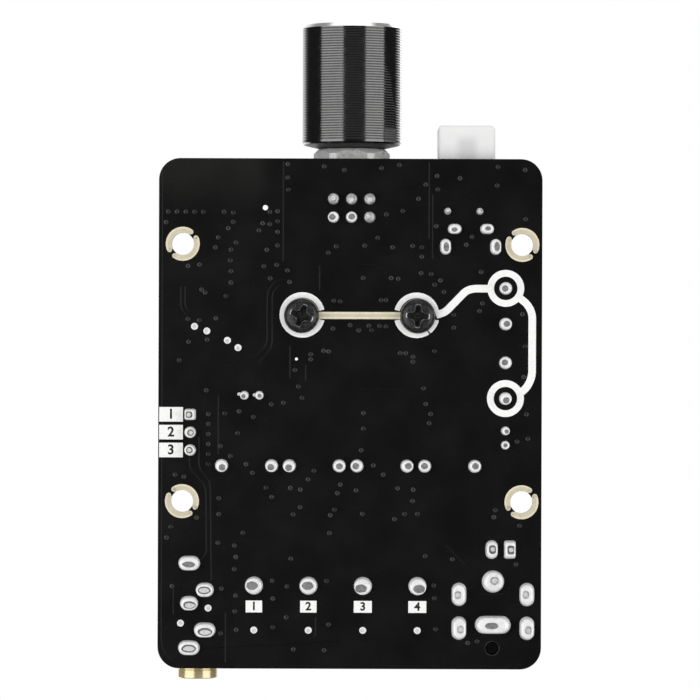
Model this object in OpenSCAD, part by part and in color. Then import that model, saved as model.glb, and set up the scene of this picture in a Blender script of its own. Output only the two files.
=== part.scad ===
// Stereo audio amplifier board with a volume knob, push button, heatsink and connectors.
// The origin is the centre of the four mounting holes, on the underside of the board.
// +Z points to the component side, the knob faces -Y and the sockets face +Y.

/* [Circuit board] */
// Board width
board_w = 53.65; // [53:0.05:60]
// Board length
board_l = 71.4; // [71:0.1:80]
// Board thickness
board_t = 1.6; // [1:0.1:2.4]
// Corner radius
corner_r = 3.0; // [1:0.5:5]
// Mounting hole spacing across
hole_dx = 47.5; // [46:0.1:48]
// Mounting hole spacing along
hole_dy = 36.0; // [34:0.5:38]
// Mounting hole diameter
hole_d = 3.1; // [2.5:0.1:3.6]
// Gold land diameter
land_d = 4.75; // [4.2:0.05:5.2]
// From the hole centre to the front edge
front_reach = 30.0; // [29.8:0.1:30.4]
// From the hole centre to the left edge
left_reach = 27.1; // [27:0.1:28]
// Height of a solder joint
solder_h = 0.8; // [0.5:0.1:1.1]
// Length of the leads below the board
lead_drop = 1.4; // [1.2:0.1:1.8]

/* [Knob] */
// Knob diameter
knob_d = 14; // [12:0.5:16]
// Knob length
knob_l = 17.5; // [15:0.5:20]
// Gap from the nut to the knob
knob_gap = 0.1; // [0.1:0.1:1]
// Groove pitch
groove_pitch = 0.36; // [0.3:0.02:0.8]
// Groove depth
groove_depth = 0.1; // [0.05:0.01:0.2]
// Front chamfer
knob_chamfer = 0.5; // [0.2:0.1:1]

/* [Volume control] */
// Place of the shaft across the board
pot_x = -0.15; // [-1:0.05:1]
// Height of the shaft above the board
axis_h = 6.5; // [6.2:0.1:7.5]
// Body width
pot_w = 9.8; // [9.6:0.1:11]
// Body height
pot_h = 11.2; // [11:0.1:12.5]
// Shaft diameter
shaft_d = 6; // [5:0.1:6.2]
// Thread diameter of the bushing
bushing_d = 7; // [6.9:0.1:7.4]
// Nut width across flats
nut_af = 10; // [9.5:0.5:12]
// Nut thickness
nut_t = 2.0; // [1.6:0.1:2.2]
// Terminal pitch
pot_pitch = 2.54; // [2.4:0.02:2.6]
// Place of the front terminal row
pot_row_y = -24.35; // [-24.6:0.05:-24]

/* [Push button] */
// Cap width
cap_w = 8.0; // [7:0.1:9]
// Cap height
cap_h = 7.4; // [7:0.1:8.5]
// How far the cap stands out past the board
cap_reach = 4.8; // [4:0.1:7]
// Cap wall
cap_wall = 1.2; // [1:0.1:1.4]
// Place of the cap across the board
cap_x = 16.0; // [15.8:0.05:16.4]
// Travel of the button
cap_travel = 0.25; // [0.15:0.05:0.4]

/* [Heatsink] */
// Heatsink width
sink_w = 22; // [20:0.5:23]
// Heatsink length
sink_l = 21; // [19:0.5:22]
// Height of the fins
fin_h = 11; // [6:0.5:18]
// Base thickness
sink_base = 3; // [2:0.5:5]
// Number of fins
fin_count = 8; // [4:1:10]
// Fin thickness
fin_t = 1.2; // [0.8:0.1:1.6]
// Screw spacing
screw_span = 16.0; // [15:0.1:17]
// Screw head diameter
screw_head_d = 4.95; // [4.5:0.05:5.2]
// Screw head height
screw_head_h = 1.9; // [1.8:0.1:2.2]

/* [Inductors] */
// Inductor width
coil_w = 9.0; // [8:0.1:9.2]
// Inductor depth
coil_d = 9.4; // [8:0.1:10]
// Inductor height
coil_h = 10.5; // [8:0.5:14]
// Spacing from one inductor to the next
coil_pitch = 9.47; // [9.4:0.01:9.6]
// Spacing of the two leads
coil_lead_span = 7.0; // [6:0.1:7.4]

/* [Capacitors] */
// Bulk capacitor diameter
bulk_d = 10; // [8:0.1:10.2]
// Bulk capacitor height
bulk_h = 17; // [12:0.5:25]
// Bulk capacitor lead spacing
bulk_span = 5.0; // [4:0.1:5.2]
// Small capacitor diameter
small_d = 5; // [4:0.1:5.2]
// Small capacitor height
small_h = 11; // [7:0.5:12]

/* [Speaker terminals] */
// Spacing from one way to the next
way_pitch = 7.62; // [7.5:0.01:7.8]
// Block height
block_h = 12; // [12:0.5:15]

/* [Sockets] */
// Power socket height
jack_h = 10.8; // [10.4:0.1:12]
// Power socket mouth diameter
jack_mouth_d = 6.4; // [5.8:0.1:6.6]
// Power socket centre pin diameter
jack_pin_d = 2.1; // [1.7:0.1:2.5]
// Audio socket bore diameter
plug_d = 3.7; // [3.6:0.05:3.9]
// Audio ferrule diameter
ferrule_d = 5.6; // [5:0.1:5.8]
// How far the ferrule stands out past the housing
ferrule_reach = 1.9; // [1:0.1:3]
// Header height
header_h = 7; // [6.5:0.5:9]

/* [Hidden] */
$fn = 48;
// Clearance round pieces that slide or turn
run = 0.05;
// Clearance round fitted pieces
fit = 0.02;
// Thickness of lands and printed marks
skin = 0.04;
// Least gap between neighbouring parts on the board
part_gap = 0.3;
top = board_t;
front_y = -front_reach;
rear_y = front_y + board_l;
left_x = -left_reach;
right_x = left_x + board_w;

// Volume control stack, from the nut to the back plate
axis_z = top + axis_h;
pot_plate_y = front_y + 0.9;
pot_plate_t = 1.0;
washer_t = 0.5;
nut_y = pot_plate_y - washer_t - nut_t;
wafer_t = 0.8;
wafer_1_y = pot_row_y - wafer_t / 2;
wafer_2_y = wafer_1_y + 2.55;
back_plate_y = wafer_2_y + wafer_t;
pot_z = top + 0.3;
rotor_r = 4.2;
bushing_end = nut_y - 3.4;
knob_y = nut_y - knob_gap;
knob_end = knob_y - knob_l;
knob_bore = 14.6;
shaft_end = knob_y - 12.4;

// Push button
switch_x = 16.52;
cap_z = top + 0.35;
cap_end = front_y - cap_reach;
cap_back = -26.0;
plunger_size = [3.2, 2.2];
plunger_z = cap_z + 4.4;
housing_y = -25.4;
chamber_back = -19.4;
housing_top = plunger_z + 3.0;
dome_t = 0.3;

// Heatsink
sink_x = 1.0;
sink_y = -8.1;
chip_size = [6.2, 11, 1.1];
chip_z = top + 0.1;
pad_t = 0.3;
sink_z = chip_z + chip_size.z + pad_t;
screw_d = 2.5;

// Inductors and capacitors
coil_step = max(coil_pitch, coil_w + part_gap);
coil_x0 = -0.515 - 1.5 * coil_step;
coil_y = 13.0;
row_1_y = coil_y + coil_d / 2 + 3.5;
column_x = sink_x + sink_w / 2 + 2.2;
bulk_x = max(right_x - 5.1, column_x + 1 + part_gap + bulk_d / 2);
bulk_step = max(10.415, bulk_d + part_gap);
bulk_ys = [-4.2075 - bulk_step / 2, -4.2075 + bulk_step / 2];
sleeve_t = 0.15;
coil_left = coil_x0 - coil_w / 2;
coil_right = coil_x0 + 3 * coil_step + coil_w / 2;
small_1 = [max(right_x - 5.09, coil_right + part_gap + small_d / 2),
    max(9.02, bulk_ys[1] + bulk_d / 2 + part_gap + small_d / 2)];
small_2 = [-14.1, 3.16];
regulator_x = small_2.x - small_d / 2 - 2;

// Speaker terminals
way_x0 = -13.63;
block_left = way_x0 - way_pitch / 2;
block_right = block_left + 4 * way_pitch;
// Rear line of the connectors, behind the parts in front of them
rear_line = max(rear_y, row_1_y + 1.6 + part_gap + 16.43);
way_pin_y = rear_line - 11.63;
way_y = rear_line - 8.2;
block_front = rear_line - 13.0;
block_rear = rear_line - 0.4;
cage = [5.2, 4.4];
cage_wall = 0.8;
screw_seat = top + block_h - 1.9;

// Sockets
jack_half = 4.6;
shield_t = 0.3;
jack_x = max(right_x - 6.75, block_right + part_gap + jack_half + shield_t);
jack_front = rear_line - 13.7;
jack_rear = rear_line - 0.3;
jack_leg_ys = [jack_rear - 10.19, jack_rear - 5.47];
jack_z = top + 6.3;
audio_half = 3.35;
audio_x = min(left_x + 5.45, block_left - part_gap - audio_half);
audio_z = top + 3.1;
audio_rear = rear_line - 0.3;
input_size = [5.75, 9.9];
input_x = min(left_x + 4.48, coil_left - part_gap - input_size.x / 2 + 0.48);
input_y = 8.36;
power_size = [7.4, 5.75];
power_x = max(right_x - 5.68, coil_right - coil_w / 2 + part_gap + power_size.x / 2);
power_y = rear_line - 16.77;

// Lead places, each a list of points on the board
pot_pins = [for (row = [0, 1], i = [-1, 0, 1]) [pot_x + i * pot_pitch, pot_row_y + row * 2.55]];
lamp_pins = [[13.29, -22.67], [17.79, -22.67]];
switch_pins = [[14.28, -20.21], [18.81, -20.21]];
frame_pins = [[13.01, -17.71], [20.02, -17.71]];
bulk_pins = [for (y = bulk_ys, s = [-1, 1]) [bulk_x, y + s * bulk_span / 2]];
small_pins = [small_1 - [0, 1], small_1 + [0, 1], small_2 - [1.02, 0], small_2 + [1.03, 0]];
coil_pins = [for (i = [0:3], s = [-1, 1])
    [coil_x0 + i * coil_step + s * coil_lead_span / 2, coil_y]];
input_pins = [for (i = [-1, 0, 1]) [input_x, input_y + i * 2.495]];
power_pins = [for (s = [-1, 1]) [power_x + s * 1.27, power_y]];
way_pins = [for (i = [0:3]) [way_x0 + i * way_pitch, way_pin_y]];
dc_pin = [[jack_x, jack_rear - 12.0]];
dc_spring = [[jack_x, jack_rear - 5.94]];
dc_legs = [for (s = [-1, 1], y = jack_leg_ys) [jack_x + s * 4.75, y]];
audio_left = [for (back = [14.43, 8.84, 2.6]) [audio_x - 1.05, audio_rear - back]];
audio_right = [for (back = [10.7, 5.1]) [audio_x + 1.15, audio_rear - back]];
peg = [jack_x - 0.1, jack_rear - 2.7];

// Soldered groups: places, lead size, round lead, pad size, square pad
SOLDERED = [
    [pot_pins, [0.9, 0.5], false, [1.5, 1.5], false],
    [lamp_pins, [0.5, 0.5], true, [0.95, 0.95], false],
    [switch_pins, [0.9, 0.4], false, [1.9, 1.4], false],
    [frame_pins, [0.4, 1.2], false, [1.5, 2.2], false],
    [bulk_pins, [0.7, 0.7], true, [1.75, 1.75], false],
    [small_pins, [0.5, 0.5], true, [1.25, 1.25], false],
    [coil_pins, [0.8, 0.8], true, [1.8, 1.8], false],
    [[input_pins[0]], [0.64, 0.64], false, [1.6, 1.6], true],
    [[input_pins[1], input_pins[2]], [0.64, 0.64], false, [1.6, 1.6], false],
    [[power_pins[0]], [0.64, 0.64], false, [1.7, 2.6], false],
    [[power_pins[1]], [0.64, 0.64], false, [1.7, 2.6], true],
    [way_pins, [1.8, 0.9], false, [2.5, 2.5], false],
    [dc_pin, [1.8, 0.8], false, [3.1, 3.1], false],
    [dc_spring, [3.0, 0.8], false, [5.0, 2.5], false],
    [dc_legs, [0.3, 1.6], false, [2.05, 3.2], false],
    [audio_left, [1.5, 0.4], false, [2.9, 2.05], false],
    [audio_right, [1.5, 0.4], false, [2.8, 2.05], false]];

// Tinned spots without a lead
SPOTS = concat([for (i = [0:3]) [way_x0 + i * way_pitch, rear_line - 5.4]],
    [[audio_x + 1.61, audio_rear - 8.15], [audio_x - 2.24, audio_rear - 6.03]],
    [[-22.07, -6.45], [-20.34, -5.81], [-17.46, -4.51], [-15.97, -3.49]]);

// Box between two opposite corners
module box_between(low, high) {
    translate(low)
        cube(high - low);
}

// Box round a centre in x and y, from one height to another
module post(centre, size, low, high) {
    translate([centre.x - size.x / 2, centre.y - size.y / 2, low])
        cube([size.x, size.y, high - low]);
}

// Round bar along the y axis, from one place to another
module bar_y(x, z, d, from, to) {
    translate([x, to, z])
        rotate([90, 0, 0])
            cylinder(d = d, h = to - from);
}

// Flat oblong or round outline
module oblong(size) {
    d = min(size.x, size.y);
    reach = (size - [d, d]) / 2;
    if (size.x == size.y) {
        circle(d = d);
    } else {
        square(size.x > size.y ? [2 * reach.x, d] : [d, 2 * reach.y], center = true);
        translate(reach)
            circle(d = d);
        translate(-reach)
            circle(d = d);
    }
}

// Hole outline that lets a lead through with a clearance
module lead_hole(lead, is_round, clear) {
    if (is_round)
        circle(d = lead.x + 2 * clear);
    else if (lead.x == lead.y)
        circle(d = lead.x * sqrt(2) + 2 * clear);
    else
        oblong(lead + [2 * clear, 2 * clear] + (lead.x > lead.y ? [lead.y, 0] : [0, lead.x]));
}

// Lead outline with a clearance
module lead_outline(lead, is_round, clear) {
    if (is_round)
        circle(d = lead.x + 2 * clear);
    else
        square(lead + [2 * clear, 2 * clear], center = true);
}

// One soldered lead on the underside: a cone on a round pad, a dome on a long one
module solder_joint(lead, is_round, pad, is_square) {
    half = max(pad.x, pad.y) / 2;
    rise = solder_h - 0.15;
    ball = (half * half + rise * rise) / (2 * rise);
    slim = min(half - 0.1, max(lead.x, lead.y) / 2 + 0.12);
    difference() {
        if (pad.x == pad.y && !is_square)
            rotate_extrude()
                polygon([[0, 0], [half, 0], [half - 0.04, -0.12],
                    [(half + slim) / 2, -0.4 * solder_h], [slim, -solder_h], [0, -solder_h]]);
        else
            intersection() {
                translate([0, 0, -solder_h])
                    linear_extrude(solder_h)
                        if (is_square)
                            square(pad, center = true);
                        else
                            oblong(pad);
                translate([0, 0, ball - solder_h])
                    sphere(r = ball);
            }
        translate([0, 0, -solder_h - 1])
            linear_extrude(solder_h + 2)
                lead_outline(lead, is_round, fit);
    }
}

// Flat stroke through a list of points
module stroke(points, width) {
    for (i = [0:len(points) - 2]) {
        step = points[i + 1] - points[i];
        translate(points[i])
            rotate(atan2(step.y, step.x))
                translate([0, -width / 2])
                    square([norm(step), width]);
    }
    for (i = [1:len(points) - 2])
        translate(points[i])
            circle(d = width);
}

module circuit_board() {
    half_w = board_w / 2 - corner_r;
    half_l = board_l / 2 - corner_r;
    color("#1b1b1d")
        difference() {
            linear_extrude(board_t)
                translate([board_w / 2 - left_reach, board_l / 2 - front_reach]) {
                    square([board_w - 2 * corner_r, board_l], center = true);
                    square([board_w, board_l - 2 * corner_r], center = true);
                    for (x = [-half_w, half_w], y = [-half_l, half_l])
                        translate([x, y])
                            circle(r = corner_r);
                }
            for (x = [-1, 1], y = [-1, 1])
                translate([x * hole_dx / 2, y * hole_dy / 2, -1])
                    cylinder(d = hole_d, h = board_t + 2);
            for (s = [-1, 1])
                translate([sink_x + s * screw_span / 2, sink_y, -1])
                    cylinder(d = screw_d + 0.4, h = board_t + 2);
            for (group = SOLDERED, place = group[0])
                translate([place.x, place.y, -1])
                    linear_extrude(board_t + 2)
                        lead_hole(group[1], group[2], 0.08);
            translate([peg.x, peg.y, -1])
                cylinder(d = 1.95, h = board_t + 2);
        }
}

module gold_lands() {
    color("#d9cca0") {
        for (x = [-1, 1], y = [-1, 1], z = [-skin, board_t])
            translate([x * hole_dx / 2, y * hole_dy / 2, z])
                linear_extrude(skin)
                    difference() {
                        circle(d = land_d);
                        circle(d = hole_d);
                        rotate(x * y > 0 ? -40 : 40)
                            square([land_d + 1, 0.6], center = true);
                    }
        translate([sink_x, sink_y, -skin])
            linear_extrude(skin)
                square([screw_span - screw_head_d - 0.3, 1.05], center = true);
    }
}

module solder_joints() {
    color("#c4c6c8") {
        for (group = SOLDERED, place = group[0])
            translate([place.x, place.y, 0])
                solder_joint(group[1], group[2], group[3], group[4]);
        for (place = SPOTS)
            translate([place.x, place.y, -0.15])
                cylinder(d1 = 0.7, d2 = 1.0, h = 0.15);
    }
}

module white_print() {
    color("#efefec")
        translate([0, 0, -skin])
            linear_extrude(skin) {
                for (s = [-1, 1])
                    translate([sink_x + s * screw_span / 2, sink_y])
                        difference() {
                            circle(d = screw_head_d + 1.35);
                            circle(d = screw_head_d + 0.1);
                            translate([-s * 4, 0])
                                square([8, 1.5], center = true);
                        }
                for (place = [bulk_pins[0], bulk_pins[3]])
                    translate(place)
                        difference() {
                            circle(d = 5.15);
                            circle(d = 3.3);
                        }
                stroke([[11.9, sink_y], [12.7, -8.15], [16.2, -11.65], [16.6, -11.75],
                    [bulk_x - 2.35, -11.75]], 1.0);
                stroke([[bulk_x + 2.05, -10.4], [bulk_x + 3.75, -8.3], [bulk_x + 3.75, 0.4],
                    [bulk_x + 2.15, 2.3]], 1.0);
                for (place = input_pins)
                    translate([place.x - 2.7, place.y])
                        square([3.35, 2.1], center = true);
                for (place = way_pins)
                    translate([place.x, rear_line - 8.7])
                        square([2.5, 1.7], center = true);
                translate([-12.21, -23.08])
                    circle(d = 0.7);
                translate([-7.8, -1.93])
                    circle(d = 0.4);
            }
}

module heatsink() {
    pitch = (sink_w - fin_t) / (fin_count - 1);
    color("#26272a")
        difference() {
            union() {
                translate([sink_x - sink_w / 2, sink_y - sink_l / 2, sink_z])
                    cube([sink_w, sink_l, sink_base]);
                for (i = [0:fin_count - 1])
                    translate([sink_x - sink_w / 2 + i * pitch, sink_y - sink_l / 2, sink_z])
                        cube([fin_t, sink_l, sink_base + fin_h]);
                for (s = [-1, 1])
                    translate([sink_x + s * screw_span / 2, sink_y, top])
                        cylinder(r = 2.3, h = sink_z - top + 0.5);
            }
            for (s = [-1, 1])
                translate([sink_x + s * screw_span / 2, sink_y, top - 1])
                    cylinder(d = screw_d + 2 * fit, h = 5.6);
        }
}

module heatsink_screws() {
    color("#202022")
        for (s = [-1, 1])
            translate([sink_x + s * screw_span / 2, sink_y, 0])
                difference() {
                    union() {
                        cylinder(d = screw_d, h = top + 4.2);
                        intersection() {
                            translate([0, 0, -screw_head_h])
                                cylinder(d = screw_head_d, h = screw_head_h);
                            translate([0, 0, 3.0 - screw_head_h])
                                sphere(r = 3.0);
                        }
                    }
                    for (turn = [0, 90])
                        rotate(turn + (s < 0 ? 20 : 3))
                            translate([-1.45, -0.4, -screw_head_h - 0.1])
                                cube([2.9, 0.8, 1.2]);
                }
}

module thermal_pad() {
    color("#c9ccd6")
        post([sink_x, sink_y], [chip_size.x - 0.4, chip_size.y - 0.4], sink_z - pad_t, sink_z);
}

module amplifier_chip() {
    color("#2b2b2d")
        post([sink_x, sink_y], chip_size, chip_z, chip_z + chip_size.z);
}

module amplifier_chip_legs() {
    color("#c8c9cb")
        for (s = [-1, 1], i = [0:15])
            translate([sink_x, sink_y + (i - 7.5) * 0.65, 0])
                scale([s, 1, 1])
                    union() {
                        box_between([3.1, -0.11, chip_z + 0.5], [3.5, 0.11, chip_z + 0.65]);
                        box_between([3.35, -0.11, top], [3.5, 0.11, chip_z + 0.65]);
                        box_between([3.35, -0.11, top], [4.05, 0.11, top + 0.15]);
                    }
}

module pot_bushing_plate() {
    color("#b9bbbd")
        difference() {
            union() {
                post([pot_x, pot_plate_y + pot_plate_t / 2], [pot_w, pot_plate_t], pot_z,
                    pot_z + pot_h);
                bar_y(pot_x, axis_z, bushing_d, bushing_end, pot_plate_y + pot_plate_t);
            }
            bar_y(pot_x, axis_z, shaft_d + 2 * run, bushing_end - 1, pot_plate_y + 2);
        }
}

// One ring-shaped case between two places
module pot_case(from, to) {
    difference() {
        post([pot_x, (from + to) / 2], [pot_w, to - from], pot_z, pot_z + pot_h);
        bar_y(pot_x, axis_z, 2 * rotor_r + 0.3, from - 1, to + 1);
    }
}

module pot_cases() {
    color("#3a3d40") {
        pot_case(pot_plate_y + pot_plate_t, wafer_1_y);
        pot_case(wafer_1_y + wafer_t, wafer_2_y);
    }
}

module pot_wafers() {
    color("#6b4a2c") {
        difference() {
            post([pot_x, wafer_1_y + wafer_t / 2], [pot_w, wafer_t], pot_z, pot_z + pot_h);
            bar_y(pot_x, axis_z, 5.3, wafer_1_y - 1, wafer_1_y + 2);
        }
        post([pot_x, wafer_2_y + wafer_t / 2], [pot_w, wafer_t], pot_z, pot_z + pot_h);
    }
}

module pot_back_plate() {
    color("#b9bbbd")
        difference() {
            post([pot_x, back_plate_y + 0.25], [pot_w, 0.5], pot_z, pot_z + pot_h);
            for (s = [-1, 1])
                bar_y(pot_x + s * (pot_w / 2 - 1), pot_z + pot_h - 1, 0.8, back_plate_y - 1,
                    back_plate_y + 1);
        }
}

module pot_rotor() {
    color("#e4e1d8")
        difference() {
            union() {
                bar_y(pot_x, axis_z, 2 * rotor_r, pot_plate_y + pot_plate_t + 0.1,
                    wafer_1_y - 0.1);
                bar_y(pot_x, axis_z, 5, wafer_1_y - 0.5, wafer_2_y - 0.2);
                bar_y(pot_x, axis_z, 2 * rotor_r, wafer_1_y + wafer_t + 0.1, wafer_2_y - 0.1);
            }
            bar_y(pot_x, axis_z, 2.8 + 2 * fit, pot_plate_y, wafer_2_y - 0.4);
        }
}

module pot_shaft() {
    color("#c9cacc")
        difference() {
            union() {
                bar_y(pot_x, axis_z, shaft_d, shaft_end, pot_plate_y + pot_plate_t + 0.05);
                bar_y(pot_x, axis_z, 2.8, pot_plate_y, wafer_2_y - 0.5);
            }
            post([pot_x, shaft_end + 2.4], [1, 5], axis_z - 5, axis_z + 5);
        }
}

module pot_terminals() {
    color("#c4c6c8")
        for (place = pot_pins)
            post(place, [0.9, 0.5], -lead_drop, pot_z);
}

module pot_washer() {
    color("#c2c4c6")
        difference() {
            bar_y(pot_x, axis_z, nut_af + 0.4, pot_plate_y - washer_t, pot_plate_y);
            bar_y(pot_x, axis_z, bushing_d + 2 * fit, pot_plate_y - 2, pot_plate_y + 1);
        }
}

module pot_nut() {
    corner = nut_af / cos(30);
    color("#c9cbcd")
        translate([pot_x, nut_y + nut_t, axis_z])
            rotate([90, 0, 0])
                difference() {
                    intersection() {
                        rotate(2)
                            cylinder(d = corner, h = nut_t, $fn = 6);
                        cylinder(d1 = corner + nut_t, d2 = nut_af + 0.5, h = nut_t);
                    }
                    translate([0, 0, -1])
                        cylinder(d = bushing_d + 2 * fit, h = nut_t + 2);
                }
}

module knob() {
    r = knob_d / 2;
    count = floor((knob_l - knob_chamfer - 0.9) / groove_pitch);
    grooves = [for (i = [0:count - 1], k = [0, 1, 2])
        [k == 1 ? r - groove_depth : r, 0.5 + (i + k * 0.4) * groove_pitch]];
    color("#141415")
        translate([pot_x, knob_y, axis_z])
            rotate([90, 0, 0])
                rotate_extrude()
                    polygon(concat([[4.5, 0], [r - 0.3, 0], [r, 0.3]], grooves,
                        [[r, knob_l - knob_chamfer], [r - knob_chamfer, knob_l], [0, knob_l],
                        [0, knob_bore], [4.5, knob_bore]]));
}

module knob_bush() {
    color("#d8d6cf")
        difference() {
            bar_y(pot_x, axis_z, 9 - 2 * fit, knob_y - knob_bore, knob_y - 4.2);
            bar_y(pot_x, axis_z, shaft_d + 2 * fit, shaft_end - 0.1, knob_y);
        }
}

module button_cap() {
    inner = [cap_w - 2 * cap_wall, cap_h - 2 * cap_wall];
    socket = plunger_size + [2, 2];
    color("#eeeeea")
        difference() {
            union() {
                difference() {
                    box_between([cap_x - cap_w / 2, cap_end, cap_z],
                        [cap_x + cap_w / 2, cap_back, cap_z + cap_h]);
                    box_between([cap_x - inner.x / 2, cap_end + 1.6, cap_z + cap_wall],
                        [cap_x + inner.x / 2, cap_back + 1, cap_z + cap_wall + inner.y]);
                }
                box_between([cap_x - socket.x / 2, cap_end + 1, plunger_z - socket.y / 2],
                    [cap_x + socket.x / 2, cap_back - 1, plunger_z + socket.y / 2]);
            }
            post([cap_x, (cap_end + cap_back + 3) / 2],
                [plunger_size.x + 2 * fit, cap_back - cap_end - 1],
                plunger_z - plunger_size.y / 2 - fit, plunger_z + plunger_size.y / 2 + fit);
        }
}

module switch_plunger() {
    color("#f4f4f0")
        box_between([cap_x - plunger_size.x / 2, cap_end + 2, plunger_z - plunger_size.y / 2],
            [cap_x + plunger_size.x / 2, chamber_back - dome_t - cap_travel - fit,
            plunger_z + plunger_size.y / 2]);
}

module switch_housing() {
    color("#2a2a2c")
        difference() {
            box_between([switch_x - 4, housing_y, top], [switch_x + 4, chamber_back + 0.9, housing_top]);
            box_between([switch_x - 3.6, housing_y + 0.7, top + 0.8],
                [switch_x + 3.6, chamber_back, housing_top - 0.7]);
            post([cap_x, housing_y], [plunger_size.x + 2 * run, 3], plunger_z - plunger_size.y / 2 - run,
                plunger_z + plunger_size.y / 2 + run);
            post([15.54, housing_y], [4, 3], top + 1, top + 2.8);
            for (place = lamp_pins)
                translate([place.x, place.y, top - 1])
                    cylinder(d = 0.7, h = 3);
        }
}

module switch_frame() {
    back = chamber_back + 0.9;
    color("#c2c4c6")
        union() {
            box_between([switch_x - 3.71, back, top + 0.3],
                [switch_x + 3.7, back + 0.4, housing_top]);
            for (place = frame_pins) {
                box_between([place.x - 0.2, back, top + 0.3],
                    [place.x + 0.2, place.y + 0.6, housing_top]);
                post(place, [0.4, 1.2], -lead_drop, top + 1);
            }
        }
}

module switch_dome() {
    color("#cfd0d2")
        bar_y(cap_x, plunger_z, 4.2, chamber_back - dome_t, chamber_back);
}

module switch_terminals() {
    color("#c4c6c8")
        for (place = switch_pins)
            post(place, [0.9, 0.4], -lead_drop, top);
}

module indicator_lamp() {
    color("#dfeaf2")
        union() {
            box_between([13.0, -23.6, top + 0.9], [18.1, -21.8, top + 2.7]);
            bar_y(15.54, top + 1.8, 1.5, -24.4, -23.5);
        }
}

module inductor(i) {
    x = coil_x0 + i * coil_step;
    color("#3b3b3e")
        translate([x, coil_y, top])
            difference() {
                translate([-coil_w / 2, -coil_d / 2, 0])
                    cube([coil_w, coil_d, coil_h]);
                translate([0, 0, coil_h - 0.8])
                    difference() {
                        cylinder(r = 3.7, h = 2);
                        translate([0, 0, -1])
                            cylinder(r = 3.3, h = 4);
                    }
            }
}

module bulk_capacitor(y) {
    r = bulk_d / 2 - sleeve_t - fit;
    color("#c3c5c7")
        translate([bulk_x, y, top])
            difference() {
                rotate_extrude()
                    polygon([[0, 0], [r - 0.5, 0], [r - 0.2, 0.4], [r - 0.2, 1.6], [r - 0.6, 1.9],
                        [r - 0.6, 2.2], [r, 2.6], [r, bulk_h - 0.5], [r - 0.5, bulk_h],
                        [0, bulk_h]]);
                for (turn = [0, 90])
                    rotate(turn + 45)
                        translate([-3.4, -0.15, bulk_h - 0.2])
                            cube([6.8, 0.3, 1]);
            }
}

module bulk_capacitor_sleeves() {
    r = bulk_d / 2;
    color("#22262b")
        for (y = bulk_ys)
            translate([bulk_x, y, top])
                rotate_extrude()
                    polygon([[r - sleeve_t, 0.15], [r, 0.15], [r, bulk_h], [r - 0.35, bulk_h + 0.15],
                        [r - 1.3, bulk_h + 0.15], [r - 1.3, bulk_h + 0.02],
                        [r - 0.6, bulk_h + 0.02], [r - sleeve_t, bulk_h - 0.43]]);
}

module small_capacitor(place) {
    r = small_d / 2;
    color("#23272c")
        translate([place.x, place.y, top])
            rotate_extrude()
                polygon([[0, 0], [r - 0.2, 0], [r - 0.2, 1.0], [r - 0.4, 1.2], [r - 0.4, 1.4],
                    [r, 1.7], [r, small_h - 0.4], [r - 0.4, small_h], [r - 0.8, small_h],
                    [r - 0.8, small_h - 0.1], [0, small_h - 0.1]]);
}

module passive_leads() {
    color("#c4c6c8") {
        for (place = bulk_pins)
            translate([place.x, place.y, -lead_drop])
                cylinder(d = 0.7, h = lead_drop + top);
        for (place = small_pins)
            translate([place.x, place.y, -lead_drop])
                cylinder(d = 0.5, h = lead_drop + top);
        for (place = coil_pins)
            translate([place.x, place.y, -lead_drop])
                cylinder(d = 0.8, h = lead_drop + top);
        for (place = lamp_pins)
            translate([place.x, place.y, -lead_drop])
                cylinder(d = 0.5, h = lead_drop + top + 0.9);
    }
}

module terminal_housing() {
    color("#1f6f4a")
        difference() {
            box_between([block_left, block_front, top], [block_right, block_rear, top + block_h]);
            for (i = [0:3])
                translate([way_x0 + i * way_pitch, 0, 0]) {
                    box_between([-2.3, way_y + 1, top + 0.8], [2.3, block_rear + 1, top + 5.6]);
                    box_between([-2.7, way_y - 2.3, top + 0.8], [2.7, way_y + 2.3, screw_seat - 0.3]);
                    box_between([-1.0, way_pin_y - 0.55, top - 1], [1.0, way_y - 2, top + 5.9]);
                    translate([0, way_y, screw_seat - 1])
                        cylinder(r = 1.6, h = 2);
                    translate([0, way_y, screw_seat])
                        cylinder(r = 2.15, h = 4);
                }
            for (i = [1:3])
                box_between([block_left + i * way_pitch - 0.3, block_rear - 0.7, top - 1],
                    [block_left + i * way_pitch + 0.3, block_rear + 1, top + block_h + 1]);
            translate([block_left - 1, block_front, top + block_h - 2.2])
                rotate([-45, 0, 0])
                    translate([0, -3, -1])
                        cube([4 * way_pitch + 2, 3, 6]);
        }
}

module terminal_screw(i) {
    color("#c9cbcd")
        translate([way_x0 + i * way_pitch, way_y, screw_seat + fit])
            difference() {
                union() {
                    cylinder(r = 2.0, h = 1.4);
                    translate([0, 0, top + 5.9 - screw_seat])
                        cylinder(r = 1.5, h = screw_seat - top - 5.8);
                }
                translate([-3, -0.4, 0.6])
                    cube([6, 0.8, 2]);
            }
}

module terminal_clamp(i) {
    color("#c7b06a")
        translate([way_x0 + i * way_pitch, way_y, top + 1.0])
            difference() {
                translate([-cage.x / 2, -cage.y / 2, 0])
                    cube([cage.x, cage.y, 6.2]);
                translate([-cage.x / 2 + cage_wall, -cage.y, cage_wall])
                    cube([cage.x - 2 * cage_wall, 2 * cage.y, 4.2]);
                translate([0, 0, 3])
                    cylinder(r = 1.5 + run, h = 5);
            }
}

module terminal_contacts() {
    color("#c4c6c8")
        for (place = way_pins)
            union() {
                post(place, [1.8, 0.9], -lead_drop - 0.2, top + 5.8);
                box_between([place.x - 0.9, place.y, top + 5.0], [place.x + 0.9, way_y, top + 5.8]);
                box_between([place.x - 1.5, way_y - 2.1, top + 5.0], [place.x + 1.5, way_y + 2, top + 5.8]);
            }
}

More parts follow.
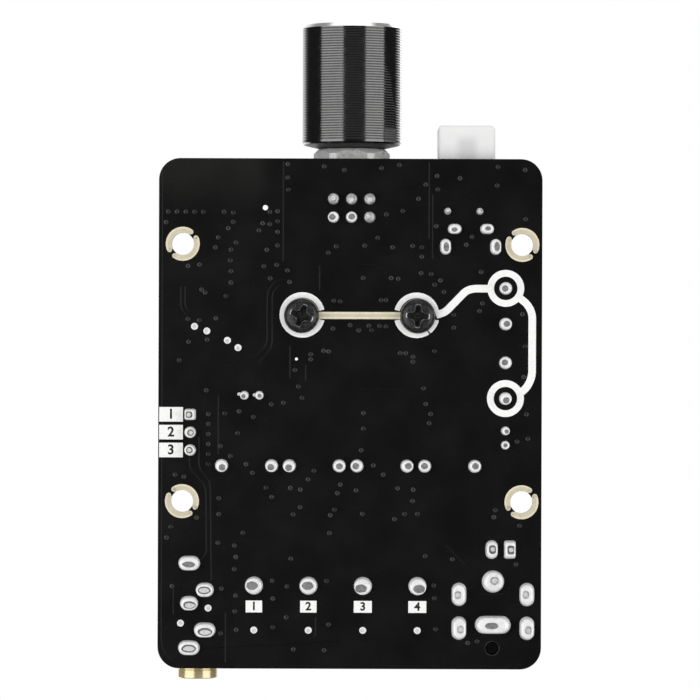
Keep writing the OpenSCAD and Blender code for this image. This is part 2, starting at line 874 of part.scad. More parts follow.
module dc_jack_housing() {
    high = top + jack_h;
    color("#1c1c1e")
        difference() {
            union() {
                box_between([jack_x - jack_half, jack_front, top], [jack_x + jack_half, jack_rear, high]);
                translate([peg.x, peg.y, -0.1])
                    cylinder(d = 1.5, h = top + 1);
            }
            bar_y(jack_x, jack_z, jack_mouth_d, jack_rear - 9.9, jack_rear + 1);
            bar_y(jack_x, jack_z, jack_pin_d + 2 * fit, jack_front, jack_rear - 9.1);
            box_between([jack_x - 1.3, jack_front - 1, top - 1],
                [jack_x + 1.3, jack_rear - 11.5, jack_z + 1.5]);
            box_between([jack_x - 1.7, jack_rear - 8.1, top + 0.9],
                [jack_x + 1.7, jack_rear - 1.7, jack_z - 2]);
            box_between([jack_x - 1.7, jack_rear - 6.5, top - 1],
                [jack_x + 1.7, jack_rear - 5.4, top + 2]);
        }
}

module dc_jack_shield() {
    high = top + jack_h;
    out = jack_half + shield_t;
    color("#c2c4c6") {
        box_between([jack_x - out, jack_front, high], [jack_x + out, jack_rear, high + shield_t]);
        for (s = [-1, 1]) {
            post([jack_x + s * 4.75, (jack_front + jack_rear) / 2], [0.3, jack_rear - jack_front],
                top + 0.4, high + 0.3);
            for (y = jack_leg_ys)
                post([jack_x + s * 4.75, y], [0.3, 1.6], -lead_drop, top + 1);
        }
    }
}

module dc_jack_pin() {
    color("#c8c9cb")
        union() {
            bar_y(jack_x, jack_z, jack_pin_d, jack_rear - 12.1, jack_rear - 1.3);
            post(dc_pin[0], [1.8, 0.8], -lead_drop - 0.2, jack_z + 0.9);
        }
}

module dc_jack_spring() {
    leaf = jack_z - jack_mouth_d / 2 - 0.45;
    color("#c7b06a")
        union() {
            box_between([jack_x - 1.5, jack_rear - 7.9, leaf],
                [jack_x + 1.5, jack_rear - 1.9, leaf + 0.35]);
            post(dc_spring[0], [3.0, 0.8], -lead_drop - 0.2, leaf + 0.2);
        }
}

module audio_jack_housing() {
    color("#1c1c1e")
        difference() {
            box_between([audio_x - audio_half, audio_rear - 15.5, top],
                [audio_x + audio_half, audio_rear, top + 6.2]);
            bar_y(audio_x, audio_z, plug_d, audio_rear - 13.1, audio_rear + 1);
            bar_y(audio_x, audio_z, ferrule_d + 2 * fit, audio_rear - 2.15, audio_rear + 1);
            for (place = concat(audio_left, audio_right)) {
                s = place.x < audio_x ? -1 : 1;
                x = audio_x + s * 2.3;
                post(place, [1.7, 0.6], top - 1, top + 0.9);
                post([(place.x + x) / 2, place.y], [abs(x - place.x) + 0.6, 0.6], top + 0.2, top + 0.9);
                post([x, place.y], [0.6, 0.6], top + 0.2,
                    place.y > audio_rear - 4 ? top + 0.9 : top + 4.6);
            }
        }
}

module audio_jack_ferrule() {
    color("#d8b25a")
        translate([audio_x, audio_rear + ferrule_reach, audio_z])
            rotate([90, 0, 0])
                difference() {
                    union() {
                        cylinder(d1 = ferrule_d - 0.5, d2 = ferrule_d, h = 0.25);
                        translate([0, 0, 0.25])
                            cylinder(d = ferrule_d, h = ferrule_reach + 1.85);
                    }
                    translate([0, 0, -1])
                        cylinder(d = plug_d, h = ferrule_reach + 5);
                }
}

module audio_jack_contacts() {
    color("#c4c6c8")
        for (place = concat(audio_left, audio_right)) {
            s = place.x < audio_x ? -1 : 1;
            x = audio_x + s * 2.3;
            union() {
                post(place, [1.5, 0.4], -lead_drop, top + 0.8);
                post([(place.x + x) / 2, place.y], [abs(x - place.x) + 0.3, 0.4], top + 0.4, top + 0.8);
                if (place.y < audio_rear - 4)
                    post([x, place.y], [0.3, 0.4], top + 0.4, top + 4.4);
            }
        }
}

// Open-topped shroud round a row of pins
module header(centre, size, pins) {
    difference() {
        post(centre, size, top, top + header_h);
        post(centre, size - [1.6, 1.6], top + 1.6, top + header_h + 1);
        for (place = pins)
            post(place, [0.64 + 2 * fit, 0.64 + 2 * fit], top - 1, top + 3);
    }
}

module input_header() {
    color("#ece8dc")
        difference() {
            header([input_x - 0.48, input_y], input_size, input_pins);
            for (s = [-1, 1])
                post([input_x + 2.22, input_y + s * 2.25], [2, 1.2], top + 2.4,
                    top + header_h + 1);
        }
}

module power_header() {
    color("#ece8dc")
        difference() {
            header([power_x, power_y - 0.13], power_size, power_pins);
            for (s = [-1, 1])
                post([power_x + s * 1.25, power_y - 2.93], [1.2, 2], top + 2.4,
                    top + header_h + 1);
        }
}

module header_pins() {
    color("#c8c9cb")
        for (place = concat(input_pins, power_pins))
            post(place, [0.64, 0.64], -lead_drop, top + header_h - 0.9);
}

module small_chips() {
    color("#2b2b2d") {
        post([-17.8, -12.6], [6, 6], top, top + 0.9);
        post([regulator_x, -0.6], [4, 5], top, top + 1.5);
    }
}

module crystal_can() {
    color("#c9cbcd")
        post([-23.4, -12.0], [2.5, 3.2], top, top + 0.8);
}

module chip_passives() {
    color("#8f7d63") {
        for (i = [0:7])
            post([-16.5 + i * 4.2, row_1_y], [1.6, 3.2], top, top + 1.2);
        for (i = [0:3])
            post([way_x0 + i * way_pitch, block_front - 2.8], [2.0, 1.25], top, top + 0.8);
        for (i = [0:4])
            post([-12.3, -17 + i * 2.6], [2.0, 1.25], top, top + 0.8);
        for (i = [0:4])
            post([column_x, -13 + i * 2.6], [2.0, 1.25], top, top + 0.8);
        for (i = [0:3])
            post([-23.6 + i * 2.4, -6.6], [1.25, 2.0], top, top + 0.8);
    }
}

circuit_board();
gold_lands();
solder_joints();
white_print();
heatsink();
heatsink_screws();
thermal_pad();
amplifier_chip();
amplifier_chip_legs();
pot_bushing_plate();
pot_cases();
pot_wafers();
pot_back_plate();
pot_rotor();
pot_shaft();
pot_terminals();
pot_washer();
pot_nut();
knob();
knob_bush();
button_cap();
switch_plunger();
switch_housing();
switch_frame();
switch_dome();
switch_terminals();
indicator_lamp();
inductor(0);  // inductor_1
inductor(1);  // inductor_2
inductor(2);  // inductor_3
inductor(3);  // inductor_4
bulk_capacitor(bulk_ys[0]);  // bulk_capacitor_1
bulk_capacitor(bulk_ys[1]);  // bulk_capacitor_2
bulk_capacitor_sleeves();
small_capacitor(small_1);  // small_capacitor_1
small_capacitor(small_2);  // small_capacitor_2
passive_leads();
terminal_housing();
terminal_screw(0);  // terminal_screw_1
terminal_screw(1);  // terminal_screw_2
terminal_screw(2);  // terminal_screw_3
terminal_screw(3);  // terminal_screw_4
terminal_clamp(0);  // terminal_clamp_1
terminal_clamp(1);  // terminal_clamp_2
terminal_clamp(2);  // terminal_clamp_3
terminal_clamp(3);  // terminal_clamp_4
terminal_contacts();
dc_jack_housing();
dc_jack_shield();
dc_jack_pin();
dc_jack_spring();
audio_jack_housing();
audio_jack_ferrule();
audio_jack_contacts();
input_header();
power_header();
header_pins();
small_chips();
crystal_can();
chip_passives();
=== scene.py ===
"""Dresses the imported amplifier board: finishes, soldered leads, printed marks and a plain studio."""
import math
import random

import bmesh
import bpy
from bpy.props import FloatProperty, FloatVectorProperty, IntProperty, PointerProperty
from mathutils import Matrix, Vector


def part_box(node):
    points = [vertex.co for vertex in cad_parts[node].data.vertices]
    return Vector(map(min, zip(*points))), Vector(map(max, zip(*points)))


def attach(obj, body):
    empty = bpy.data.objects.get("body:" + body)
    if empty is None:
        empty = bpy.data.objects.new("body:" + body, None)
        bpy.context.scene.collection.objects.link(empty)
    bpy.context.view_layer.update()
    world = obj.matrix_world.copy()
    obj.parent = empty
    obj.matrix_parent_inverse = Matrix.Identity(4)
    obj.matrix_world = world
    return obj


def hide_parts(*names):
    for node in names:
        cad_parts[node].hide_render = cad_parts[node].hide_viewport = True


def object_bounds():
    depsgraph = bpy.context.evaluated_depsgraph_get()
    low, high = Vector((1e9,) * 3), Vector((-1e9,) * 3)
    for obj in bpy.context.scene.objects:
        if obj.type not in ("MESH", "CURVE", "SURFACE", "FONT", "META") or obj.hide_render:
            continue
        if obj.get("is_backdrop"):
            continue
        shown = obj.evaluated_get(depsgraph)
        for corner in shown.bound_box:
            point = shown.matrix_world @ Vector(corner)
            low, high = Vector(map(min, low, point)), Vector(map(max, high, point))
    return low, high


bl_info = {
    "name": "Audio amplifier board",
    "version": (1, 0, 0),
    "blender": (4, 5, 0),
    "location": "3D View > Sidebar > Amplifier board",
    "description": "Finishes, fine pieces and studio of a stereo audio amplifier board",
    "category": "Object",
}

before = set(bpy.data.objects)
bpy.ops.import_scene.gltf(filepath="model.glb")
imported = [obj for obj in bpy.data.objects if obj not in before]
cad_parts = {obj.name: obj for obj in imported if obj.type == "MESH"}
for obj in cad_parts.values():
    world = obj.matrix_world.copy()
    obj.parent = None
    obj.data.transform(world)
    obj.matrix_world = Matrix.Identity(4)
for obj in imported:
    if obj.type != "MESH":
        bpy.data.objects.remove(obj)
CAD_LOW, CAD_HIGH = (list(corner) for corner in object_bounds())

MM = 0.001
# Vertices closer than this, in metres, become one
MERGE = 1e-7
DOWN = Vector((0, 0, -1))
UP = Vector((0, 0, 1))
REAR = Vector((0, 1, 0))

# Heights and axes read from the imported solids, in millimetres
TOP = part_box("circuit_board")[1].z / MM
KNOB_LOW, KNOB_HIGH = (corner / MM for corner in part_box("knob"))
KNOB_X = (KNOB_LOW.x + KNOB_HIGH.x) / 2
KNOB_Z = (KNOB_LOW.z + KNOB_HIGH.z) / 2
KNOB_R = (KNOB_HIGH.x - KNOB_LOW.x) / 2
KNOB_L = KNOB_HIGH.y - KNOB_LOW.y

# Places on the board in millimetres, and how far each screw sits beside its own
SCREW_PLACES = ((-7.0, -8.1), (9.0, -8.1))
SCREW_SHIFT = ((-0.1, 0.1), (0.15, 0.1))
HOLES = [(sx * 23.75, sy * 18.0) for sx in (-1, 1) for sy in (-1, 1)]
WAY_X = [-13.63 + 7.62 * i for i in range(4)]
BULK_X = 21.45
BULK_Y = (-9.415, 1.0)
SMALL_CAPS = ((21.46, 9.02), (-14.1, 3.16))
INPUT_PINS = [(-22.62, 8.36 + 2.495 * i) for i in (-1, 0, 1)]

# Thickness of the gold, of the ink on the solder side and of the ink on the component side
GOLD = 0.04
INK = 0.04
THIN_INK = 0.02

# Thickness of a printed figure, and how far its strokes are widened
FIGURE_DEPTH = 0.012
FIGURE_BOLD = 0.05

# Soldered leads in millimetres: places, pad, square or not, depth, size of the lead's end and its look
DULL, RINGED, COLLARED, FAINT, GREY = "dull", "ringed", "collared", "faint", "grey"
SOLDERED = [
    ([(-0.15 + 2.54 * i, -24.35) for i in (-1, 0, 1)], (1.6, 1.6), False, 1.46, (0.8, 0.65), GREY),
    ([(-0.15 + 2.54 * i, -21.8) for i in (-1, 0)], (1.6, 1.6), False, 1.46, (0.85, 0.75), DULL),
    ([(2.39, -21.8)], (1.6, 1.6), False, 1.46, (0.6, 0.6), GREY),
    ([(13.29, -22.67), (17.79, -22.67)], (1.0, 1.0), False, 1.46, (0.4, 0.4), GREY),
    ([(14.28, -20.21), (18.81, -20.21)], (1.95, 1.45), False, 1.46, (0.65, 0.45), DULL),
    ([(13.01, -17.71), (20.02, -17.71)], (1.55, 2.25), False, 1.46, (0.65, 1.15), DULL),
    ([(BULK_X, y + s * 2.5) for y in BULK_Y for s in (-1, 1)],
     (1.8, 1.8), False, 1.46, (0.8, 0.72), DULL),
    ([(21.46, 8.02), (21.46, 10.02), (-15.05, 3.16), (-12.98, 3.16)],
     (1.25, 1.25), False, 1.46, (0.5, 0.5), DULL),
    ([(-14.72 + 9.47 * i + s * 3.5, 13.0) for i in range(4) for s in (-1, 1)],
     (1.85, 1.85), False, 1.46, (0.8, 0.75), DULL),
    (INPUT_PINS[:1], (1.65, 1.65), True, 1.46, (0.56, 0.56), COLLARED),
    (INPUT_PINS[1:], (1.65, 1.65), False, 1.46, (0.56, 0.56), COLLARED),
    ([(19.60, 24.63)], (1.75, 2.65), False, 1.46, (0.6, 0.5), COLLARED),
    ([(22.14, 24.63)], (1.7, 2.6), True, 1.46, (0.6, 0.5), COLLARED),
    ([(x, 29.77) for x in WAY_X], (2.55, 2.55), False, 1.66, (1.5, 0.95), DULL),
    ([(19.8, 29.10)], (3.15, 3.15), False, 1.66, (0.75, 0.65), FAINT),
    ([(19.8, 35.16)], (5.05, 2.55), False, 1.66, (1.25, 0.6), DULL),
    ([(19.8 + s * 4.75, y) for s in (-1, 1) for y in (30.91, 35.63)],
     (2.1, 3.3), False, 1.66, (0.6, 0.6), FAINT),
    ([(-22.7, 26.67)], (3.05, 2.1), False, 1.46, (1.6, 0.6), DULL),
    ([(-22.7, 38.5), (-20.5, 36.0)], (3.05, 2.1), False, 1.46, (1.65, 0.7), RINGED),
    ([(-22.7, 32.26), (-20.5, 30.4)], (2.55, 2.05), False, 1.46, (1.55, 0.65), RINGED),
    ([(-15.76, 3.0), (-13.6, 3.12)], (0.6, 0.5), False, 0.5, (0.15, 0.15), FAINT),
]
TINNED_SPOTS = [(x, 36.0) for x in WAY_X] + [
    (-20.04, 32.95), (-23.89, 35.07),
    (-22.07, -6.45), (-20.34, -5.81), (-17.46, -4.51), (-15.97, -3.49)]

# Small plated holes under the mask, by area of the board
VIAS_FRONT_LEFT = [
    (-9.1, -29.2), (-9.1, -27.3), (-9.0, -25.6), (-18.0, -22.5), (-16.7, -22.4), (-16.7, -21.1),
    (-17.4, -20.2), (-18.8, -18.9), (-19.2, -17.5), (-16.3, -18.2), (-17.0, -17.2), (-17.1, -15.7),
    (-17.0, -14.2), (-17.0, -12.6), (-17.7, -10.7), (-11.6, -22.5), (-10.5, -22.6), (-10.5, -21.2),
    (-12.6, -20.9), (-11.6, -20.8), (-13.1, -19.9), (-10.5, -19.7), (-10.5, -17.8), (-12.0, -17.2),
    (-10.6, -15.1), (-12.4, -14.9), (-11.5, -13.2), (-9.1, -14.3), (-8.8, -12.7), (-26.1, -21.0),
    (-21.4, -15.1), (-23.0, -14.9), (-20.6, -11.2), (-21.1, -11.6), (-23.0, -7.5), (-21.4, -7.3),
    (-19.1, -7.6)]
VIAS_FRONT_RIGHT = [
    (11.8, -27.6), (11.9, -25.7), (11.7, -20.6), (20.3, -28.9), (24.1, -28.5), (15.0, -27.3),
    (20.2, -26.3), (24.2, -21.6), (16.7, -19.1), (15.9, -18.0), (-4.0, -28.9), (-1.2, -28.4),
    (4.0, -28.7), (6.5, -29.1), (10.2, -26.4), (9.2, -24.4), (4.7, -22.2), (7.0, -22.7),
    (3.5, -18.9), (1.7, -17.8), (-2.3, -17.7), (-3.4, -16.8), (5.6, -17.6), (8.4, -17.8),
    (9.7, -17.6), (9.7, -16.3), (9.6, -14.0)]
VIAS_MIDDLE = [
    (1.5, -13.3), (5.4, -13.3), (6.4, -13.2), (11.0, -13.9), (11.5, -12.4), (12.3, -13.0),
    (12.8, -11.4), (-1.7, -10.0), (-2.6, -10.1), (4.7, -10.2), (4.0, -10.2), (-2.7, -6.2),
    (-0.3, -6.7), (0.9, -6.0), (2.3, -6.6), (2.7, -6.0), (3.8, -6.6), (4.7, -6.5), (-4.0, -3.1),
    (-3.3, -3.0), (-5.8, -2.6), (-5.8, -1.9), (-8.0, -0.4), (-7.5, 1.9), (-7.0, 3.5), (6.7, -2.8),
    (7.5, -2.8), (8.5, -2.3), (8.5, -1.6), (11.5, -3.1), (10.0, 2.1), (10.3, 4.3), (11.0, 5.7),
    (10.8, 7.0), (1.6, 5.6), (1.6, 7.8), (1.3, 10.8), (18.0, -14.2), (18.2, -9.8), (17.8, -8.7),
    (14.2, -8.2), (14.2, -6.4), (23.8, -8.3), (24.2, -3.8), (24.0, 0.5), (24.4, 5.7), (24.6, 9.1),
    (23.1, 9.5)]
VIAS_REAR_LEFT = [
    (-22.9, -4.3), (-20.3, -4.6), (-24.2, -1.7), (-20.4, 2.5), (-11.3, 4.4), (-9.6, 4.2),
    (-16.0, 8.5), (-13.8, 6.2), (-17.8, 5.7), (-15.8, 5.4), (-18.4, 10.3), (-17.0, 11.7),
    (-14.8, 12.8), (-13.9, 14.0), (-24.7, 14.3), (-23.5, 14.6), (-12.0, 16.1), (-8.6, 16.1),
    (-18.6, 17.6), (-11.2, 17.4), (-18.6, 19.8), (-21.7, 20.3), (-8.2, 19.8), (-25.3, 21.6),
    (-25.9, 23.1), (-15.2, 22.4), (-18.7, 23.8), (-16.4, 24.2), (-16.2, 25.8), (-16.4, 27.5),
    (-16.2, 31.2), (-16.3, 33.4), (-11.1, 29.1), (-9.0, 29.9), (-11.0, 31.6), (-8.5, 26.0),
    (-9.1, 34.2), (-11.0, 35.6), (-16.1, 36.0), (-18.3, 36.5), (-8.1, 38.7), (-25.1, 29.9),
    (-18.2, 30.2)]
VIAS_REAR_RIGHT = [
    (3.0, 12.9), (4.4, 14.2), (-5.3, 13.7), (-6.1, 14.9), (-7.2, 16.3), (-1.6, 15.6), (-2.0, 16.8),
    (0.6, 16.4), (6.4, 16.1), (8.6, 16.3), (8.5, 17.9), (7.4, 19.7), (9.2, 19.7), (6.0, 20.4),
    (-7.2, 18.8), (-2.4, 19.1), (1.5, 19.7), (-3.0, 19.9), (20.1, 19.1), (19.9, 20.1), (23.5, 21.3),
    (14.1, 26.0), (10.3, 25.6), (23.0, 26.7), (11.5, 29.7), (11.6, 31.5), (11.8, 35.8),
    (16.3, 37.7), (17.6, 37.5), (-3.5, 29.1), (-3.1, 22.4), (-3.2, 35.2), (-3.8, 38.8)]
VIA_ROWS = [(-25.8 + 1.23 * i, -22.5) for i in range(5)] + [(-20.1, 5.8 + 1.4 * i) for i in range(6)]

# Raised copper lines under the mask on the solder side, the first few also on the other side
TRACES = [
    [(-9.7, -29.6), (-9.7, -15.6)],
    [(-9.4, -13.1), (-10.7, -12.9), (-11.9, -11.5), (-11.9, -4.0), (-13.9, -1.8), (-19.2, -1.6)],
    [(-9.5, -12.4), (-10.3, -12.2), (-11.2, -11.2), (-11.2, -3.6), (-13.2, -1.2)],
    [(-24.0, -12.0), (-24.0, -9.0), (-23.1, -7.9)],
    [(-23.4, -12.0), (-23.4, -9.2), (-22.7, -8.4)],
    [(-22.7, 12.0), (-22.7, 13.4), (-20.4, 15.9), (-20.3, 25.4), (-21.3, 26.4)],
    [(-21.4, 9.0), (-21.4, 13.4), (-19.8, 15.2), (-19.6, 29.2)],
    [(-18.7, 3.2), (-18.7, 11.4)],
    [(-8.7, -3.7), (-8.7, 0.7)],
    [(-4.6, -15.0), (-4.6, -11.6)],
    [(-3.1, -15.2), (5.2, -15.2)],
    [(10.7, -29.5), (10.7, -18.8)],
    [(11.2, -25.0), (11.2, -16.0)],
    [(1.0, 2.3), (9.7, 2.3)],
    [(-6.5, -1.1), (-6.5, 1.1)],
    [(-5.4, -4.3), (-2.4, -4.3)],
    [(-17.6, 33.6), (-17.6, 40.6)],
    [(-24.9, 29.6), (-24.9, 33.8)],
    [(-5.0, 34.2), (-5.0, 36.9), (-5.8, 37.4)],
    [(16.7, 30.9), (21.3, 30.9)],
    [(13.2, 24.0), (15.9, 26.9)],
]


def at(x, y, z=0.0):
    """A place given in millimetres, as a vector in metres."""
    return Vector((x, y, z)) * MM


def new_verts(result):
    """The vertices among what an extrusion made."""
    return [item for item in result["geom"] if isinstance(item, bmesh.types.BMVert)]


def added(bm, before):
    """The faces that a bmesh has got since a set of its faces was taken."""
    return [face for face in bm.faces if face not in before]


def corners_of(faces):
    """The vertices of some faces, each of them once."""
    return list({vert for face in faces for vert in face.verts})


def edges_of(faces):
    """The edges of some faces, each of them once."""
    return list({edge for face in faces for edge in face.edges})


def drawn_out(bm, face):
    """Extrudes a face, takes the old one away, and gives the new face and its vertices."""
    step = bmesh.ops.extrude_face_region(bm, geom=[face])
    if face.is_valid:
        bmesh.ops.delete(bm, geom=[face], context="FACES_ONLY")
    new_face = next(item for item in step["geom"] if isinstance(item, bmesh.types.BMFace))
    return new_face, new_verts(step)


def shade(bm, degrees=35.0):
    """Smooths the shading except across corners sharper than an angle."""
    limit = math.radians(degrees)
    for face in bm.faces:
        face.smooth = True
    for edge in bm.edges:
        edge.smooth = len(edge.link_faces) != 2 or edge.calc_face_angle() < limit


def finished_piece(name, bm, body, materials, stands_for=()):
    """Turns a bmesh into a piece with the given materials that rides on a body, and hides the CAD nodes
    it stands for.
    """
    mesh = bpy.data.meshes.new(name)
    bm.to_mesh(mesh)
    bm.free()
    for material in materials:
        mesh.materials.append(material)
    piece = bpy.data.objects.new(name, mesh)
    bpy.context.scene.collection.objects.link(piece)
    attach(piece, body)
    if stands_for:
        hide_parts(*stands_for)
    return piece


def dress(node, material, edge=0.0, segments=2):
    """Gives a CAD node its finish, and softens its edges where a width in millimetres is given."""
    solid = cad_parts[node]
    solid.data.materials.clear()
    solid.data.materials.append(material)
    if edge:
        weld = solid.modifiers.new("Joined corners", "WELD")
        weld.merge_threshold = 1e-6
        bevel = solid.modifiers.new("Softened edges", "BEVEL")
        bevel.limit_method = "ANGLE"
        bevel.angle_limit = math.radians(38)
        bevel.width = edge * MM
        bevel.segments = segments
        bevel.use_clamp_overlap = True


def spun(bm, line, centre, axis, angle, steps, whole):
    """Spins a line of vertices and edges about an axis, and gives the faces with doubles merged."""
    before = set(bm.faces)
    bmesh.ops.spin(bm, geom=line, cent=centre, axis=axis, angle=angle, steps=steps, use_merge=whole)
    bmesh.ops.remove_doubles(bm, verts=corners_of(added(bm, before)), dist=MERGE)
    return added(bm, before)


def turned(bm, profile, origin, axis, steps=64):
    """Spins a profile of radius and distance along the axis, in millimetres, into a closed skin."""
    out = axis.orthogonal().normalized()
    verts = [bm.verts.new(origin + (out * r + axis * d) * MM) for r, d in profile]
    edges = [bm.edges.new(pair) for pair in zip(verts, verts[1:])]
    faces = spun(bm, verts + edges, origin, axis, math.tau, steps, True)
    bmesh.ops.recalc_face_normals(bm, faces=faces)
    return faces


def block(bm, low, high, edge=0.0, segments=2, index=0):
    """A box between two corners in millimetres, with rounded edges, and its material index."""
    low, high = Vector(low), Vector(high)
    place = Matrix.Translation((low + high) / 2 * MM) @ Matrix.Diagonal(((high - low) * MM).to_4d())
    before = set(bm.faces)
    made = bmesh.ops.create_cube(bm, size=1.0, matrix=place)
    if edge:
        edges = list({e for v in made["verts"] for e in v.link_edges})
        bmesh.ops.bevel(bm, geom=edges, offset=edge * MM, affect="EDGES", segments=segments,
                        profile=0.5, material=-1)
    faces = added(bm, before)
    for face in faces:
        face.material_index = index
    return faces


def flat_ring(bm, centre, inner, outer, low, high, start=0.0, end=360.0, steps=64, split=None):
    """A flat ring, or an arc of one between two angles, spun from its section.

    A radius to split it at gives the faces beyond it the second material.
    """
    turn = Matrix.Rotation(math.radians(start), 4, "Z")
    middle = at(*centre)
    section = [(inner, low), (outer, low), (outer, high), (inner, high)]
    if split:
        section = section[:1] + [(split, low)] + section[1:3] + [(split, high)] + section[3:]
    verts = [bm.verts.new(middle + turn @ Vector((r, 0, z)) * MM) for r, z in section]
    edges = [bm.edges.new(pair) for pair in zip(verts, verts[1:] + verts[:1])]
    before = set(bm.faces)
    faces = spun(bm, verts + edges, middle, UP, math.radians(end - start), steps, end - start >= 360)
    ends = [edge for edge in edges_of(faces) if edge.is_boundary]
    if ends:
        bmesh.ops.holes_fill(bm, edges=ends)
        faces = added(bm, before)
    bmesh.ops.recalc_face_normals(bm, faces=faces)
    if split:
        for face in faces:
            face.material_index = int((face.calc_center_median() - middle).xy.length > split * MM)
    return faces


def rounded(points, radius, steps=5):
    """A path in millimetres with each of its corners drawn into a curve."""
    corners = [Vector(point) for point in points]
    path = [corners[0]]
    for before, corner, after in zip(corners, corners[1:], corners[2:]):
        back, ahead = before - corner, after - corner
        reach = min(radius, back.length * 0.48, ahead.length * 0.48)
        start = corner + back.normalized() * reach
        end = corner + ahead.normalized() * reach
        for i in range(steps + 1):
            t = i / steps
            path.append(start * (1 - t) ** 2 + corner * 2 * t * (1 - t) + end * t ** 2)
    path.append(corners[-1])
    return path


def raised_lines(bm, paths, width, height, level):
    """Low rounded lines along paths on a face of the board, joined into a bmesh."""
    curve = bpy.data.curves.new("Lines", "CURVE")
    curve.dimensions = "3D"
    curve.bevel_depth = width / 2 * MM
    curve.bevel_resolution = 2
    curve.use_fill_caps = True
    for path in paths:
        spline = curve.splines.new("POLY")
        spline.points.add(len(path) - 1)
        for point, place in zip(spline.points, path):
            point.co = (place.x * MM, place.y * MM, 0, 1)
    holder = bpy.data.objects.new("Lines", curve)
    mesh = bpy.data.meshes.new_from_object(holder)
    flattened = Matrix.Diagonal((1, 1, 2 * height / width, 1))
    mesh.transform(Matrix.Translation((0, 0, level * MM)) @ flattened)
    bm.from_mesh(mesh)
    bpy.data.objects.remove(holder)
    bpy.data.curves.remove(curve)
    bpy.data.meshes.remove(mesh)


def numeral(bm, figure, size, place):
    """A plain figure that reads from the solder side, joined into a bmesh."""
    words = bpy.data.curves.new("Figure", "FONT")
    words.body = figure
    words.size = size * MM
    words.extrude = FIGURE_DEPTH / 2 * MM
    words.offset = FIGURE_BOLD * MM
    words.align_x = "CENTER"
    words.align_y = "CENTER"
    holder = bpy.data.objects.new("Figure", words)
    mesh = bpy.data.meshes.new_from_object(holder)
    mesh.transform(Matrix.Translation(place) @ Matrix.Diagonal((1, -1, -1, 1)))
    before = set(bm.faces)
    bm.from_mesh(mesh)
    bmesh.ops.remove_doubles(bm, verts=corners_of(added(bm, before)), dist=MERGE)
    bmesh.ops.recalc_face_normals(bm, faces=added(bm, before))
    bpy.data.objects.remove(holder)
    bpy.data.curves.remove(words)
    bpy.data.meshes.remove(mesh)


def add_node(tree, kind, inputs=None, **settings):
    """Adds a shader node, and gives each named input a value or a link from a socket."""
    node = tree.nodes.new("ShaderNode" + kind)
    for key, value in settings.items():
        setattr(node, key, value)
    for key, value in (inputs or {}).items():
        if isinstance(value, bpy.types.NodeSocket):
            tree.links.new(value, node.inputs[key])
        else:
            node.inputs[key].default_value = value
    return node


def surface(name, colour, roughness, metallic=0.0, mottle=0.12, patch=0.8, spread=0.06, bump=0.15,
            grain=0.1, stretch=(1, 1, 1), **sockets):
    """A procedural finish: colour and roughness that vary in patches, and a fine bump."""
    material = bpy.data.materials.new(name)
    material.use_nodes = True
    tree = material.node_tree
    shader = tree.nodes["Principled BSDF"]
    shader.inputs["Metallic"].default_value = metallic
    for socket, value in sockets.items():
        shader.inputs[socket.replace("_", " ")].default_value = value
    coord = add_node(tree, "TexCoord")
    mapping = add_node(tree, "Mapping", {"Scale": stretch, "Vector": coord.outputs["Object"]})
    place = mapping.outputs["Vector"]
    patches = add_node(tree, "TexNoise", {"Scale": 1 / (patch * MM), "Detail": 4, "Vector": place})
    # The noise keeps mostly between these two values
    low, high = 0.3, 0.7
    tone = add_node(tree, "ValToRGB", {"Fac": patches.outputs["Fac"]})
    for stop, level, gain in zip(tone.color_ramp.elements, (low, high), (1 - mottle, 1 + mottle)):
        stop.position = level
        stop.color = [min(1.0, channel * gain) for channel in colour] + [1]
    gloss = add_node(tree, "MapRange", {
        "From Min": low, "From Max": high, "To Min": max(0.02, roughness - spread),
        "To Max": min(1.0, roughness + spread), "Value": patches.outputs["Fac"]})
    fine = add_node(tree, "TexNoise", {"Scale": 1 / (grain * MM), "Detail": 3, "Vector": place})
    relief = add_node(tree, "Bump", {
        "Strength": bump, "Distance": grain * 0.2 * MM, "Height": fine.outputs["Fac"]})
    tree.links.new(tone.outputs["Color"], shader.inputs["Base Color"])
    tree.links.new(gloss.outputs["Result"], shader.inputs["Roughness"])
    tree.links.new(relief.outputs["Normal"], shader.inputs["Normal"])
    return material


def part_of_axis(material, axis, low, high):
    """A socket that goes from 0 to 1 between two places along an axis of the object, in millimetres."""
    tree = material.node_tree
    coord = add_node(tree, "TexCoord")
    split = add_node(tree, "SeparateXYZ", {"Vector": coord.outputs["Object"]})
    ramp = add_node(tree, "MapRange", {
        "From Min": low * MM, "From Max": high * MM, "Value": split.outputs[axis]},
        interpolation_type="SMOOTHSTEP")
    return ramp.outputs["Result"]


def product(material, first, second):
    """The product of two sockets of a material."""
    times = add_node(material.node_tree, "Math", {0: first, 1: second}, operation="MULTIPLY")
    return times.outputs["Value"]


def tint(material, mask, colour):
    """Mixes a second colour into the base colour of a finish where a mask is 1."""
    tree = material.node_tree
    base = tree.nodes["Principled BSDF"].inputs["Base Color"]
    mix = add_node(tree, "Mix", {
        "Factor": mask, "A": base.links[0].from_socket, "B": list(colour) + [1]}, data_type="RGBA")
    tree.links.new(mix.outputs["Result"], base)


